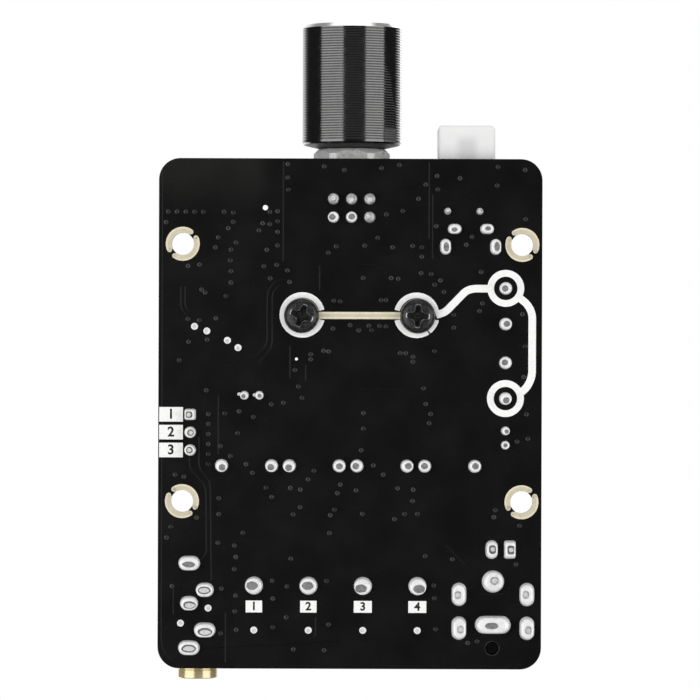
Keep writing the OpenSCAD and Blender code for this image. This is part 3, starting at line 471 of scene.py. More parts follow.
class BoardSettings(bpy.types.PropertyGroup):
    """Sizes and colours of the bare board."""
    mask_colour: FloatVectorProperty(
        name="Mask colour", description="Colour of the solder mask", subtype="COLOR",
        default=(0.0042, 0.0041, 0.0042), min=0, max=1)
    mask_gloss: FloatProperty(
        name="Mask roughness", description="Roughness of the solder mask", subtype="FACTOR",
        default=0.27, min=0.05, max=1)
    trace_width: FloatProperty(
        name="Trace width", description="Width of a raised copper line", unit="LENGTH",
        default=0.16 * MM, min=0.1 * MM, max=1 * MM)
    trace_height: FloatProperty(
        name="Trace height", description="Height of a raised copper line", unit="LENGTH",
        default=0.03 * MM, min=0.01 * MM, max=0.1 * MM)
    via_size: FloatProperty(
        name="Via diameter", description="Diameter of a small plated hole", unit="LENGTH",
        default=0.62 * MM, min=0.3 * MM, max=1 * MM)
    gold_colour: FloatVectorProperty(
        name="Gold colour", description="Colour of the plated lands", subtype="COLOR",
        default=(0.71, 0.64, 0.48), min=0, max=1)


class SolderSettings(bpy.types.PropertyGroup):
    """Shape and colour of the solder."""
    colour: FloatVectorProperty(
        name="Solder colour", description="Colour of the solder", subtype="COLOR",
        default=(0.96, 0.96, 0.96), min=0, max=1)
    unevenness: FloatProperty(
        name="Unevenness", description="How much one soldered joint differs from the next",
        subtype="FACTOR", default=0.1, min=0, max=0.3)
    seed: IntProperty(
        name="Seed", description="Start of the chance that varies the joints", default=7, min=0)


class ControlSettings(bpy.types.PropertyGroup):
    """Sizes and colours of the knob and the push button."""
    groove_pitch: FloatProperty(
        name="Groove pitch", description="From one turned groove of the knob to the next",
        unit="LENGTH", default=0.36 * MM, min=0.2 * MM, max=1 * MM)
    groove_depth: FloatProperty(
        name="Groove depth", description="Depth of a turned groove", unit="LENGTH",
        default=0.03 * MM, min=0.02 * MM, max=0.3 * MM)
    chamfer: FloatProperty(
        name="Front chamfer", description="Width of the bright chamfer", unit="LENGTH",
        default=0.5 * MM, min=0.1 * MM, max=1 * MM)
    knob_colour: FloatVectorProperty(
        name="Knob colour", description="Colour of the black knob", subtype="COLOR",
        default=(0.18, 0.18, 0.178), min=0, max=1)
    cap_round: FloatProperty(
        name="Button rounding", description="Rounding of the button's edges", unit="LENGTH",
        default=0.55 * MM, min=0.1 * MM, max=1 * MM)


class StageSettings(bpy.types.PropertyGroup):
    """The camera, the lamps and the floor."""
    distance: FloatProperty(
        name="Camera distance", description="From the board to the camera", unit="LENGTH",
        default=0.6, min=0.2, max=2)
    lens: FloatProperty(
        name="Focal length", description="Focal length of the camera, in millimetres",
        default=220.6, min=20, max=400)
    roll: FloatProperty(
        name="Roll", description="Turn of the camera about its own axis", subtype="ANGLE",
        default=math.radians(0.2), min=-1, max=1)
    side_light: FloatProperty(
        name="Side light", description="Brightness of the two soft boxes beside the camera",
        default=1.6, min=0, max=4)
    top_light: FloatProperty(
        name="Top light", description="Brightness of the soft boxes above the parts",
        default=1.5, min=0, max=4)
    floor_colour: FloatVectorProperty(
        name="Floor colour", description="Colour of the floor", subtype="COLOR",
        default=(0.86, 0.86, 0.85), min=0, max=1)


class AMPBOARD_OT_board(bpy.types.Operator):
    """Finish the bare board and add its copper lines and small plated holes"""
    bl_idname = "ampboard.board"
    bl_label = "Board, lines and holes"

    def execute(self, context):
        settings = context.scene.ampboard_board
        mask = surface("Solder mask", settings.mask_colour, settings.mask_gloss, mottle=0.1,
                       patch=6.0, spread=0.05, bump=0.05, grain=0.25)
        keep_out = product(mask, part_of_axis(mask, "X", -11, -14), part_of_axis(mask, "Y", -22, -29))
        tint(mask, keep_out, (0.012, 0.012, 0.0108))
        facing = add_node(mask.node_tree, "NewGeometry")
        split = add_node(mask.node_tree, "SeparateXYZ", {"Vector": facing.outputs["Normal"]})
        flat = add_node(mask.node_tree, "Math", {0: split.outputs["Z"]}, operation="ABSOLUTE")
        side = add_node(mask.node_tree, "Math", {0: flat.outputs["Value"], 1: 0.3},
                        operation="LESS_THAN")
        tint(mask, side.outputs["Value"], (0.022, 0.02, 0.013))
        dress("circuit_board", mask, 0.07, 2)

        line = surface("Mask over copper", [c * 1.2 for c in settings.mask_colour], 0.36, mottle=0.15,
                       patch=2.0, bump=0.05, grain=0.2, Specular_IOR_Level=0.3)
        width, height = settings.trace_width / MM, settings.trace_height / MM
        bm = bmesh.new()
        below = [rounded(path, 0.9) for path in TRACES]
        raised_lines(bm, below, width, height, 0.0)
        border = [(-26.6, -28.6), (-26.6, 40.95), (24.0, 40.95)]
        raised_lines(bm, [rounded(border, 4.2, 12)], width * 0.8, height, 0.0)
        count_above, shift_above = 8, 1.1
        above = [rounded([(x, y + shift_above) for x, y in path], 0.9) for path in TRACES[:count_above]]
        raised_lines(bm, above, width, height, TOP)
        shade(bm, 60)
        finished_piece("board_traces", bm, "board", [line])

        rim = surface("Mask over a plated hole", (0.033, 0.033, 0.032), 0.25, mottle=0.8, patch=1.3,
                      bump=0.1, grain=0.1)
        pit = surface("Filled hole", (0.009, 0.009, 0.009), 0.5, mottle=0.3, patch=0.3)
        bm = bmesh.new()
        places = (VIAS_FRONT_LEFT + VIAS_FRONT_RIGHT + VIAS_MIDDLE + VIAS_REAR_LEFT
                  + VIAS_REAR_RIGHT + VIA_ROWS)
        radius = settings.via_size / 2
        for level, up in ((0.0, DOWN), (TOP, UP)):
            one = bmesh.new()
            self.via(one, radius, up)
            mesh = bpy.data.meshes.new("Via")
            one.to_mesh(mesh)
            one.free()
            before = Vector()
            for x, y in places:
                mesh.transform(Matrix.Translation(at(x, y, level) - before))
                before = at(x, y, level)
                bm.from_mesh(mesh)
            bpy.data.meshes.remove(mesh)
        flat_ring(bm, (19.7, 38.45), 0.92, 1.04, -0.03, 0.0)
        finished_piece("board_vias", bm, "board", [rim, pit])
        return {"FINISHED"}

    @staticmethod
    def via(bm, radius, up):
        """One plated hole: a low ring with a small pit in it."""
        made = bmesh.ops.create_circle(bm, cap_ends=True, radius=radius, segments=14)
        face = made["verts"][0].link_faces[0]
        for size, rise, index in ((0.88, 0.03, 0), (0.64, 0.0, 0), (0.85, -0.025, 1)):
            face, verts = drawn_out(bm, face)
            bmesh.ops.scale(bm, vec=(size, size, 1), verts=verts)
            bmesh.ops.translate(bm, vec=up * rise * MM, verts=verts)
            face.material_index = index
        bmesh.ops.holes_fill(bm, edges=[edge for edge in bm.edges if edge.is_boundary])
        bmesh.ops.recalc_face_normals(bm, faces=bm.faces)
        # So flat a shape can come out of that turned inside out
        if bm.calc_volume(signed=True) < 0:
            bmesh.ops.reverse_faces(bm, faces=bm.faces)
        shade(bm, 40)


class AMPBOARD_OT_lands(bpy.types.Operator):
    """Add the gold lands at the mounting holes and the gold bar between the screws"""
    bl_idname = "ampboard.lands"
    bl_label = "Gold lands"

    def execute(self, context):
        gold = context.scene.ampboard_board.gold_colour
        plate = surface("Gold plate", gold, 0.46, metallic=0.15, mottle=0.06, patch=1.2, bump=0.12,
                        grain=0.06)
        edge = surface("Gold edge", [min(1, c * 1.25) for c in gold], 0.4, metallic=0.15, mottle=0.05,
                       patch=0.8, bump=0.1, grain=0.06)
        bm = bmesh.new()
        bore, brink, outer = 1.55, 2.12, 2.375
        half_gap, bead_turn = 13, 2
        bead_reach, bead_radius = 2.02, 0.33
        for x, y in HOLES:
            notch = -40 if x * y > 0 else 40
            for low, high in ((-GOLD, 0.0), (TOP, TOP + GOLD)):
                for turn in (notch, notch + 180):
                    start, end = turn + half_gap, turn + 180 - half_gap
                    flat_ring(bm, (x, y), bore, outer, low, high, start, end, 36, split=brink)
                    for tip in (start + bead_turn, end - bead_turn):
                        angle = math.radians(tip)
                        bead = at(x + bead_reach * math.cos(angle), y + bead_reach * math.sin(angle))
                        section = [(0, low), (bead_radius, low), (bead_radius, high), (0, high)]
                        # Its outer face lies a hair within the ring's, so that they share no plane
                        turned(bm, [(r, level * 0.999) for r, level in section], bead, UP, 16)
        before = set(bm.faces)
        block(bm, (-4.8, -8.54, -GOLD), (6.8, -7.55, 0.0))
        front_cut, rear_cut = -8.24, -7.86
        for cut in (front_cut, rear_cut):
            bar = added(bm, before)
            bmesh.ops.bisect_plane(bm, geom=bar + edges_of(bar) + corners_of(bar), plane_co=at(0, cut),
                                   plane_no=REAR)
        for face in added(bm, before):
            face.material_index = int(not front_cut < face.calc_center_median().y / MM < rear_cut)
        shade(bm, 30)
        finished_piece("gold_land_rings", bm, "board", [plate, edge], ["gold_lands"])
        return {"FINISHED"}


class AMPBOARD_OT_marks(bpy.types.Operator):
    """Print the white rings, lines, label fields and plain figures"""
    bl_idname = "ampboard.marks"
    bl_label = "Printed marks"

    def execute(self, context):
        ink = surface("White ink", (0.96, 0.96, 0.95), 0.55, mottle=0.04, patch=0.5, bump=0.2,
                      grain=0.08)
        dark = surface("Dark figures", (0.01, 0.01, 0.011), 0.5, mottle=0.2, patch=0.3)
        bm = bmesh.new()
        left_arcs, right_arcs = [(14, 346)], [(13, 52), (56, 166), (194, 348)]
        for place, arcs in zip(SCREW_PLACES, (left_arcs, right_arcs)):
            for start, end in arcs:
                flat_ring(bm, place, 2.42, 3.18, -INK, 0.0, start, end)
        for y in (BULK_Y[0] - 2.5, BULK_Y[1] + 2.5):
            flat_ring(bm, (BULK_X, y), 1.64, 2.58, -INK, 0.0)
        lines = [
            [(11.72, -8.15), (13.0, -8.55), (15.9, -11.55), (16.9, -11.86), (19.2, -11.86)],
            [(23.3, -10.65), (24.5, -9.7), (25.17, -8.4), (25.17, 0.4), (24.5, 1.9), (23.4, 2.85)]]
        raised_lines(bm, [rounded(path, 1.3, 8) for path in lines], 1.06, INK, 0.0)
        for x, y in INPUT_PINS:
            block(bm, (x - 4.34, y - 1.02, -INK), (x - 1.02, y + 1.02, 0.0), 0.01)
        for x, half in zip(WAY_X, (1.15, 1.15, 1.26, 1.26)):
            block(bm, (x - half, 31.87, -INK), (x + half, 33.53, 0.0), 0.01)
        for place, r, steps in (((-12.21, -23.08), 0.37, 20), ((-7.8, -1.93), 0.21, 16)):
            turned(bm, [(0, 0), (r, 0), (r, INK), (0, INK)], at(*place), DOWN, steps)
        shade(bm, 30)
        finished_piece("printed_marks", bm, "board", [ink], ["white_print"])

        bm = bmesh.new()
        for number, (x, y) in enumerate(INPUT_PINS, 1):
            numeral(bm, str(number), 1.9, at(x - 2.7, y, -INK))
        for number, x in enumerate(WAY_X, 1):
            numeral(bm, str(number), 1.6, at(x, 32.7, -INK))
        finished_piece("label_figures", bm, "board", [dark])

        bm = bmesh.new()
        outlines = []
        for (left, front), (right, rear) in self.footprints():
            box = [(left, front), (right, front), (right, rear), (left, rear), (left, front)]
            outlines.append(rounded(box, 0.2, 2))
        line = 0.16
        raised_lines(bm, outlines, line, THIN_INK, TOP)
        for y in BULK_Y:
            flat_ring(bm, (BULK_X, y), 4.9, 4.9 + line, TOP, TOP + THIN_INK)
        for place in SMALL_CAPS:
            flat_ring(bm, place, 2.7, 2.7 + line, TOP, TOP + THIN_INK)
        shade(bm, 30)
        finished_piece("part_outlines", bm, "board", [ink])
        return {"FINISHED"}

    @staticmethod
    def footprints():
        """Corners of the boxes printed round the parts, in millimetres."""
        boxes = []
        for node in ("inductor_1", "inductor_2", "inductor_3", "inductor_4", "input_header",
                     "power_header", "heatsink"):
            low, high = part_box(node)
            room = Vector((0.17, 0.4))
            boxes.append((low.xy / MM - room, high.xy / MM + room))
        boxes.append(((-21.2, -16.0), (-14.4, -9.2)))
        return boxes


class AMPBOARD_OT_solder(bpy.types.Operator):
    """Solder every lead on the underside and finish the leads"""
    bl_idname = "ampboard.solder"
    bl_label = "Solder and leads"

    def execute(self, context):
        settings = context.scene.ampboard_solder
        dice = random.Random(settings.seed)
        solder = surface("Solder", settings.colour, 0.34, metallic=0.15, mottle=0.08, patch=0.7,
                         spread=0.12, bump=0.5, grain=0.35)
        lead = surface("Tinned lead", (0.28, 0.28, 0.28), 0.42, metallic=0.35, mottle=0.35, patch=0.35,
                       spread=0.1, bump=0.5, grain=0.15)
        # Painted shade: a dark grey for the steep side of a lead, standing in for its shade and dark
        # reflection
        wall = surface("Painted shade on the side of a lead", (0.17, 0.17, 0.17), 0.38, metallic=0.3, mottle=0.4, patch=0.3,
                       spread=0.1, bump=0.5, grain=0.2)
        clipped = surface("Clipped end", (0.74, 0.74, 0.74), 0.4, metallic=0.2, mottle=0.15, patch=0.3,
                          spread=0.1, bump=0.4, grain=0.2)
        dull = surface("Dull solder", (0.5, 0.5, 0.5), 0.4, metallic=0.3, mottle=0.4, patch=0.4,
                       spread=0.12, bump=0.6, grain=0.3)
        leg = surface("Tinned leg", (0.66, 0.66, 0.65), 0.3, metallic=0.85, mottle=0.06, patch=0.5,
                      spread=0.06, bump=0.15, grain=0.1)
        # Each look: material of the solder, where its flow ends, material of the lead's side and end;
        # index 1 is a painted dark ring of shade on the steep side
        looks = {DULL: (0, 0.93, 2, 2), RINGED: (0, 0.74, 1, 3), COLLARED: (0, 0.62, 1, 3),
                 FAINT: (0, 0.84, 4, 3), GREY: (4, 0.9, 4, 3)}
        bm = bmesh.new()
        bm.edges.layers.float.new("crease_edge")
        for places, pad, square, depth, tip, look in SOLDERED:
            flow_index, brink, wall_index, end_index = looks[look]
            flow = ((0.03, 0.3), (0.1, 0.62), (0.2, 0.88), (0.34, 0.985), (brink, 1.0))
            rings = [(part, level, flow_index) for part, level in flow] + [(1.0, 0.985, wall_index)]
            for x, y in places:
                self.joint(bm, at(x, y), pad, square, depth, tip, rings, end_index, settings.unevenness,
                           dice)
        rings = ((0.05, 0.8, 0), (0.3, 1.0, 0), (0.75, 0.95, 0), (1.0, 0.8, 3))
        for x, y in TINNED_SPOTS:
            self.joint(bm, at(x, y), (1.0, 1.0), False, 0.14, (0.4, 0.4), rings, 3, settings.unevenness,
                       dice)
        bmesh.ops.recalc_face_normals(bm, faces=bm.faces)
        shade(bm, 80)
        piece = finished_piece("soldered_joints", bm, "board",
                               [solder, wall, lead, clipped, dull], ["solder_joints"])
        smooth = piece.modifiers.new("Flowed solder", "SUBSURF")
        smooth.levels = smooth.render_levels = 1
        for node in ("passive_leads", "pot_terminals", "switch_terminals", "header_pins",
                     "terminal_contacts", "audio_jack_contacts", "amplifier_chip_legs"):
            dress(node, leg, 0.05, 2)
        return {"FINISHED"}

    @staticmethod
    def joint(bm, place, pad, square, depth, tip, rings, end_index, unevenness, dice):
        """One soldered pad: its outline drawn in and down in rings until it closes over the lead."""
        sides, most_lean, square_size, end_size = 24, 2.6, 0.97, 0.6
        half = Vector(pad) / 2
        small = min(half)
        reach = half - Vector((small, small))
        turn = Matrix.Rotation(math.pi / sides, 4, "Z")
        made = bmesh.ops.create_circle(bm, cap_ends=True, radius=small * MM, segments=sides,
                                       matrix=Matrix.Translation(place) @ turn)
        lean = Vector((dice.uniform(-1, 1), dice.uniform(-0.6, 1.2), 0))
        middle = place + lean * unevenness * small * most_lean * MM
        outline, inner = [], []
        for vert in made["verts"]:
            off = vert.co - place
            round_way = off.normalized()
            if square:
                off *= square_size * small * MM / max(abs(off.x), abs(off.y))
            off.x += math.copysign(reach.x * MM, off.x)
            off.y += math.copysign(reach.y * MM, off.y)
            vert.co = place + off
            outline.append(vert.co.copy())
            wobble = 1 + dice.uniform(-1, 1) * unevenness
            half_tip = Vector((round_way.x * tip[0], round_way.y * tip[1], 0)) / 2
            inner.append(middle + half_tip * wobble * MM)
        face = made["verts"][0].link_faces[0]
        base = list(face.edges)
        order = {tuple(vert.co): i for i, vert in enumerate(made["verts"])}
        for part, level, index in rings:
            face, verts = drawn_out(bm, face)
            moved = [(vert, order[tuple(vert.co)]) for vert in verts]
            for vert, i in moved:
                vert.co = outline[i].lerp(inner[i], part) + DOWN * level * depth * MM
                for side in vert.link_faces:
                    if side is not face:
                        side.material_index = index
            order = {tuple(vert.co): i for vert, i in moved}
        face, verts = drawn_out(bm, face)
        for vert in verts:
            vert.co = middle.lerp(vert.co, end_size)
            vert.co.z = -rings[-1][1] * depth * MM
            for side in vert.link_faces:
                side.material_index = end_index
        bmesh.ops.holes_fill(bm, edges=base)
        crease = bm.edges.layers.float.get("crease_edge")
        for edge in base:
            edge[crease] = 1.0


class AMPBOARD_OT_screws(bpy.types.Operator):
    """Turn the two cross-recess screws of the heatsink"""
    bl_idname = "ampboard.screws"
    bl_label = "Heatsink screws"

    def execute(self, context):
        black = surface("Black oxide", (0.036, 0.036, 0.038), 0.26, metallic=0.4, mottle=0.5, patch=0.3,
                        spread=0.1, bump=0.6, grain=0.2)
        # Painted glint: a light grey standing in for bright reflections on the edges of the cross recess
        painted_glint = surface("Painted glint edge", (0.36, 0.36, 0.36), 0.24, metallic=0.7, mottle=0.6, patch=0.4,
                       spread=0.1, bump=0.6, grain=0.2)
        bm = bmesh.new()
        for (x, y), (dx, dy), angle in zip(SCREW_PLACES, SCREW_SHIFT, (20, 3)):
            self.screw(bm, at(x + dx, y + dy), angle)
        shade(bm, 32)
        finished_piece("cross_screws", bm, "board", [black, painted_glint], ["heatsink_screws"])
        return {"FINISHED"}

    @staticmethod
    def screw(bm, place, angle):
        """A pan head on a plain shank, with a tapered cross drawn into its crown."""
        profile = [(0, -5.7), (1.0, -5.7), (1.25, -5.4), (1.25, 0), (2.44, 0), (2.475, 0.1),
                   (2.475, 0.5), (2.43, 0.85), (2.33, 1.15), (2.18, 1.4), (1.98, 1.58), (1.82, 1.66)]
        faces = turned(bm, profile, place, DOWN, 48)
        rim = [edge for edge in edges_of(faces) if edge.is_boundary]
        quarter = [(1.62, -0.36), (1.7, 0.0), (1.62, 0.36), (1.05, 0.44), (0.72, 0.55), (0.55, 0.72),
                   (0.44, 1.05)]
        crown = place + DOWN * 1.73 * MM
        outline = []
        for turn in range(4):
            spin = Matrix.Rotation(math.radians(angle + 90 * turn), 4, "Z")
            outline += [crown + spin @ Vector((px, py, 0)) * MM for px, py in quarter]
        verts = [bm.verts.new(point) for point in outline]
        edges = [bm.edges.new((a, b)) for a, b in zip(verts, verts[1:] + verts[:1])]
        bmesh.ops.bridge_loops(bm, edges=rim + edges)
        # Index 1, on the first narrow wall round the cross, takes the painted glint colour
        for size, rise, index in ((0.91, 0.07, 1), (0.62, 1.0, 0)):
            walls = bmesh.ops.extrude_edge_only(bm, edges=edges)
            corners = set(new_verts(walls))
            bmesh.ops.scale(bm, vec=(size, size, 1), space=Matrix.Translation(-place),
                            verts=list(corners))
            bmesh.ops.translate(bm, vec=UP * rise * MM, verts=list(corners))
            for face in {face for vert in corners for face in vert.link_faces}:
                face.material_index = index
            edges = list({e for v in corners for e in v.link_edges if e.other_vert(v) in corners})
        bmesh.ops.edgeloop_fill(bm, edges=edges)
        bmesh.ops.recalc_face_normals(bm, faces=bm.faces)


class AMPBOARD_OT_knob(bpy.types.Operator):
    """Turn the knob with its fine grooves and bright chamfer"""
    bl_idname = "ampboard.knob"
    bl_label = "Knob"

    def execute(self, context):
        settings = context.scene.ampboard_controls
        black = surface("Black anodised knob", settings.knob_colour, 0.14, metallic=1.0, mottle=0.06,
                        patch=0.9, spread=0.03, bump=0.08, grain=0.08)
        bright = surface("Bright cut edge", (0.9, 0.9, 0.89), 0.2, metallic=0.7, mottle=0.04,
                         patch=0.5, bump=0.05, grain=0.05)
        # Painted shade: a near-black, non-metallic colour for the rear of the knob, standing in for its
        # shadow and dark reflection
        rear = surface("Painted shade on the rear of the knob", (0.012, 0.012, 0.012), 0.5, mottle=0.1, patch=0.8,
                       bump=0.1)
        bush = surface("Ivory plastic", (0.72, 0.69, 0.6), 0.5, mottle=0.05, patch=1.5)
        pitch, depth = settings.groove_pitch / MM, settings.groove_depth / MM
        chamfer = settings.chamfer / MM
        r, length = KNOB_R, KNOB_L
        bore, bore_depth, plain_rear = 4.5, 14.6, 0.95
        profile = [(0, bore_depth), (bore, bore_depth), (bore, 0.2), (4.7, 0), (r - 1.75, 0.12),
                   (r - 0.55, 0.4), (r - 0.2, 0.56), (r, 0.8)]
        count = int((length - chamfer - plain_rear) / pitch)
        for i in range(count):
            place = length - chamfer - (count - i) * pitch
            profile += [(r, place), (r - depth, place + 0.19 * pitch), (r - depth, place + 0.29 * pitch),
                        (r, place + 0.48 * pitch)]
        profile += [(r, length - chamfer), (r - chamfer, length), (r - 1.0, length),
                    (r - 1.25, length - 0.15), (0, length - 0.15)]
        origin = at(KNOB_X, KNOB_HIGH.y, KNOB_Z)
        bm = bmesh.new()
        turned(bm, profile, origin, -REAR, 112)
        front = KNOB_LOW.y * MM
        for face in bm.faces:
            along = face.calc_center_median().y - front
            slanted = 0.2 < abs(face.normal.y) < 0.95
            if slanted and along < settings.chamfer * 0.9:
                face.material_index = 1
            # Faces near the rear take the painted shade
            elif along > (length - 0.5) * MM:
                face.material_index = 2
        shade(bm, 20)
        finished_piece("grooved_knob", bm, "knob", [black, bright, rear], ["knob"])
        dress("knob_bush", bush, 0.1)
        return {"FINISHED"}


class AMPBOARD_OT_volume(bpy.types.Operator):
    """Finish the volume control behind the knob"""
    bl_idname = "ampboard.volume"
    bl_label = "Volume control"

    def execute(self, context):
        nickel = surface("Nickel plate", (0.76, 0.76, 0.75), 0.34, metallic=0.3, mottle=0.16,
                         patch=0.5, spread=0.08, bump=0.6, grain=0.3)
        pressed = surface("Pressed steel", (0.55, 0.55, 0.54), 0.4, metallic=0.75, mottle=0.08,
                          patch=1.0, spread=0.1, bump=0.2, grain=0.15, stretch=(1, 1, 0.2))
        turned_metal = surface("Turned shaft", (0.6, 0.6, 0.61), 0.3, metallic=0.9, mottle=0.05,
                               patch=0.6, bump=0.2, grain=0.06, stretch=(0.1, 1, 0.1))
        case = surface("Pot case", (0.03, 0.033, 0.036), 0.5, mottle=0.15, patch=0.8, bump=0.3)
        wafer = surface("Phenolic wafer", (0.17, 0.08, 0.035), 0.5, mottle=0.25, patch=0.6, bump=0.3,
                        stretch=(1, 1, 0.3))
        ivory = surface("Ivory rotor", (0.72, 0.69, 0.6), 0.5, mottle=0.05, patch=1.5)
        low, high = (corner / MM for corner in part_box("pot_nut"))
        middle = (low + high) / 2
        flat, corner, bore = 5.0, 5.42, 3.5
        bm = bmesh.new()
        self.nut(bm, at(middle.x, low.y, middle.z), flat, corner, bore, high.y - low.y)
        shade(bm, 14)
        finished_piece("hexagon_nut", bm, "board", [nickel], ["pot_nut"])
        for node, finish, edge in (
                ("pot_washer", nickel, 0.08), ("pot_bushing_plate", pressed, 0.12),
                ("pot_back_plate", pressed, 0.1), ("pot_shaft", turned_metal, 0.2),
                ("pot_cases", case, 0.1), ("pot_wafers", wafer, 0.05), ("pot_rotor", ivory, 0.08)):
            dress(node, finish, edge)
        return {"FINISHED"}

    @staticmethod
    def nut(bm, place, flat, corner, bore, length):
        """A hexagon nut whose corners are turned round, from six flats and a bore, in millimetres.

        The edge of the bore is drawn out to the front face, over the flats, and back through the bore.
        """
        chamfer, rear_edge, sixth = 0.25, 0.2, math.pi / 3
        made = bmesh.ops.create_circle(bm, radius=bore * MM, segments=120,
                                       matrix=Matrix.Translation(place)
                                       @ Matrix.Rotation(math.pi / 2, 4, "X"))
        edges = list({e for v in made["verts"] for e in v.link_edges})
        for ring in ("front face", "front corners", "rear corners", "rear face", "rear bore",
                     "front bore"):
            corners = set(new_verts(bmesh.ops.extrude_edge_only(bm, edges=edges)))
            for vert in corners:
                angle = math.atan2(vert.co.z - place.z, vert.co.x - place.x)
                beside = (angle + math.pi / 2) % sixth
                full = min(flat / math.cos(min(beside, sixth - beside)), corner)
                reach, level = {
                    "front face": (flat - chamfer, 0.0), "front corners": (full, full - flat + chamfer),
                    "rear corners": (full, length - rear_edge), "rear face": (flat - chamfer, length),
                    "rear bore": (bore, length), "front bore": (bore, 0.0)}[ring]
                vert.co = place + Vector((math.cos(angle) * reach, level, math.sin(angle) * reach)) * MM
            edges = list({e for v in corners for e in v.link_edges if e.other_vert(v) in corners})
        bmesh.ops.remove_doubles(bm, verts=bm.verts, dist=MERGE)
        bmesh.ops.recalc_face_normals(bm, faces=bm.faces)


class AMPBOARD_OT_button(bpy.types.Operator):
    """Mould the push button and finish the switch behind it"""
    bl_idname = "ampboard.button"
    bl_label = "Push button"

    def execute(self, context):
        milky = surface("Milky plastic", (0.95, 0.95, 0.945), 0.5, mottle=0.02, patch=2.0, bump=0.05,
                        grain=0.3, Transmission_Weight=0.1, IOR=1.46)
        # Painted shade: the middle of the front face is tinted grey, leaving the rounded edges whiter
        shaded_middle = product(milky, part_of_axis(milky, "X", 13.9, 15.6), part_of_axis(milky, "X", 18.1, 16.6))
        shaded_middle = product(milky, shaded_middle, part_of_axis(milky, "Y", -33.9, -32.2))
        tint(milky, shaded_middle, (0.77, 0.77, 0.77))
        white = surface("White plastic", (0.78, 0.78, 0.76), 0.4, mottle=0.04, patch=1.0, bump=0.1)
        black = surface("Switch body", (0.02, 0.02, 0.021), 0.45, mottle=0.15, patch=0.8, bump=0.3)
        steel = surface("Switch frame", (0.55, 0.55, 0.54), 0.36, metallic=0.8, mottle=0.06,
                        patch=0.8, spread=0.1, bump=0.2)
        lamp = surface("Lamp lens", (0.8, 0.88, 0.93), 0.12, mottle=0.03, patch=1.0, bump=0.03,
                       Transmission_Weight=0.6, IOR=1.5)
        low, high = (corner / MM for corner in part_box("button_cap"))
        plunger_low, plunger_high = (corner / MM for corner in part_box("switch_plunger"))
        bm = bmesh.new()
        cap_wall, socket_wall, socket_round, set_back = 1.2, 0.94, 0.15, 1.0
        self.cup(bm, low, high, context.scene.ampboard_controls.cap_round / MM, cap_wall)
        grip = Vector((0.98, 0, 0.98))
        socket_low = Vector((plunger_low.x, low.y + set_back, plunger_low.z)) - grip
        socket_high = Vector((plunger_high.x, high.y - set_back, plunger_high.z)) + grip
        self.cup(bm, socket_low, socket_high, socket_round, socket_wall)
        shade(bm, 50)
        finished_piece("milky_button", bm, "button", [milky], ["button_cap"])
        for node, finish, edge in (
                ("switch_plunger", white, 0.15), ("switch_housing", black, 0.12),
                ("switch_frame", steel, 0.06), ("switch_dome", steel, 0.05),
                ("indicator_lamp", lamp, 0.1)):
            dress(node, finish, edge)
        return {"FINISHED"}

    @staticmethod
    def cup(bm, low, high, radius, wall):
        """A box open at the rear, with rounded edges and a wall of even thickness."""
        middle, size = (low + high) / 2, high - low
        before = set(bm.faces)
        made = bmesh.ops.create_cube(bm, size=1.0, matrix=Matrix.Translation(middle * MM)
                                     @ Matrix.Diagonal((size * MM).to_4d()))
        faces = list({face for vert in made["verts"] for face in vert.link_faces})
        back = next(face for face in faces if face.normal.y > 0.9)
        edges = [edge for edge in edges_of(faces) if back not in edge.link_faces]
        bmesh.ops.delete(bm, geom=[back], context="FACES_ONLY")
        bmesh.ops.bevel(bm, geom=edges, offset=radius * MM, affect="EDGES", segments=4, profile=0.5,
                        material=-1)
        shell = added(bm, before)
        bmesh.ops.recalc_face_normals(bm, faces=shell)
        front = min(shell, key=lambda face: face.calc_center_median().y)
        if front.normal.y > 0:
            bmesh.ops.reverse_faces(bm, faces=shell)
        bmesh.ops.solidify(bm, geom=shell, thickness=wall * MM)


class AMPBOARD_OT_heatsink(bpy.types.Operator):
    """Finish the heatsink, its pad and the amplifier chip under it"""
    bl_idname = "ampboard.heatsink"
    bl_label = "Heatsink"

    def execute(self, context):
        anodised = surface("Black anodised fins", (0.022, 0.022, 0.024), 0.42, metallic=0.45,
                           mottle=0.25, patch=0.35, spread=0.08, bump=0.35, grain=0.12,
                           stretch=(1, 0.03, 1))
        pad = surface("Soft pad", (0.45, 0.48, 0.56), 0.7, mottle=0.08, patch=0.5, bump=0.3)
        epoxy = surface("Chip epoxy", (0.022, 0.022, 0.023), 0.5, mottle=0.2, patch=0.25, bump=0.5,
                        grain=0.08)
        dress("heatsink", anodised, 0.14)
        dress("thermal_pad", pad, 0.05)
        dress("amplifier_chip", epoxy, 0.08)
        return {"FINISHED"}


class AMPBOARD_OT_coils(bpy.types.Operator):
    """Finish the four output inductors"""
    bl_idname = "ampboard.coils"
    bl_label = "Inductors"

    def execute(self, context):
        ferrite = surface("Pressed ferrite", (0.04, 0.04, 0.042), 0.58, mottle=0.35, patch=0.22,
                          spread=0.12, bump=0.8, grain=0.16)
        for number in range(1, 5):
            dress(f"inductor_{number}", ferrite, 0.35, 3)
        return {"FINISHED"}


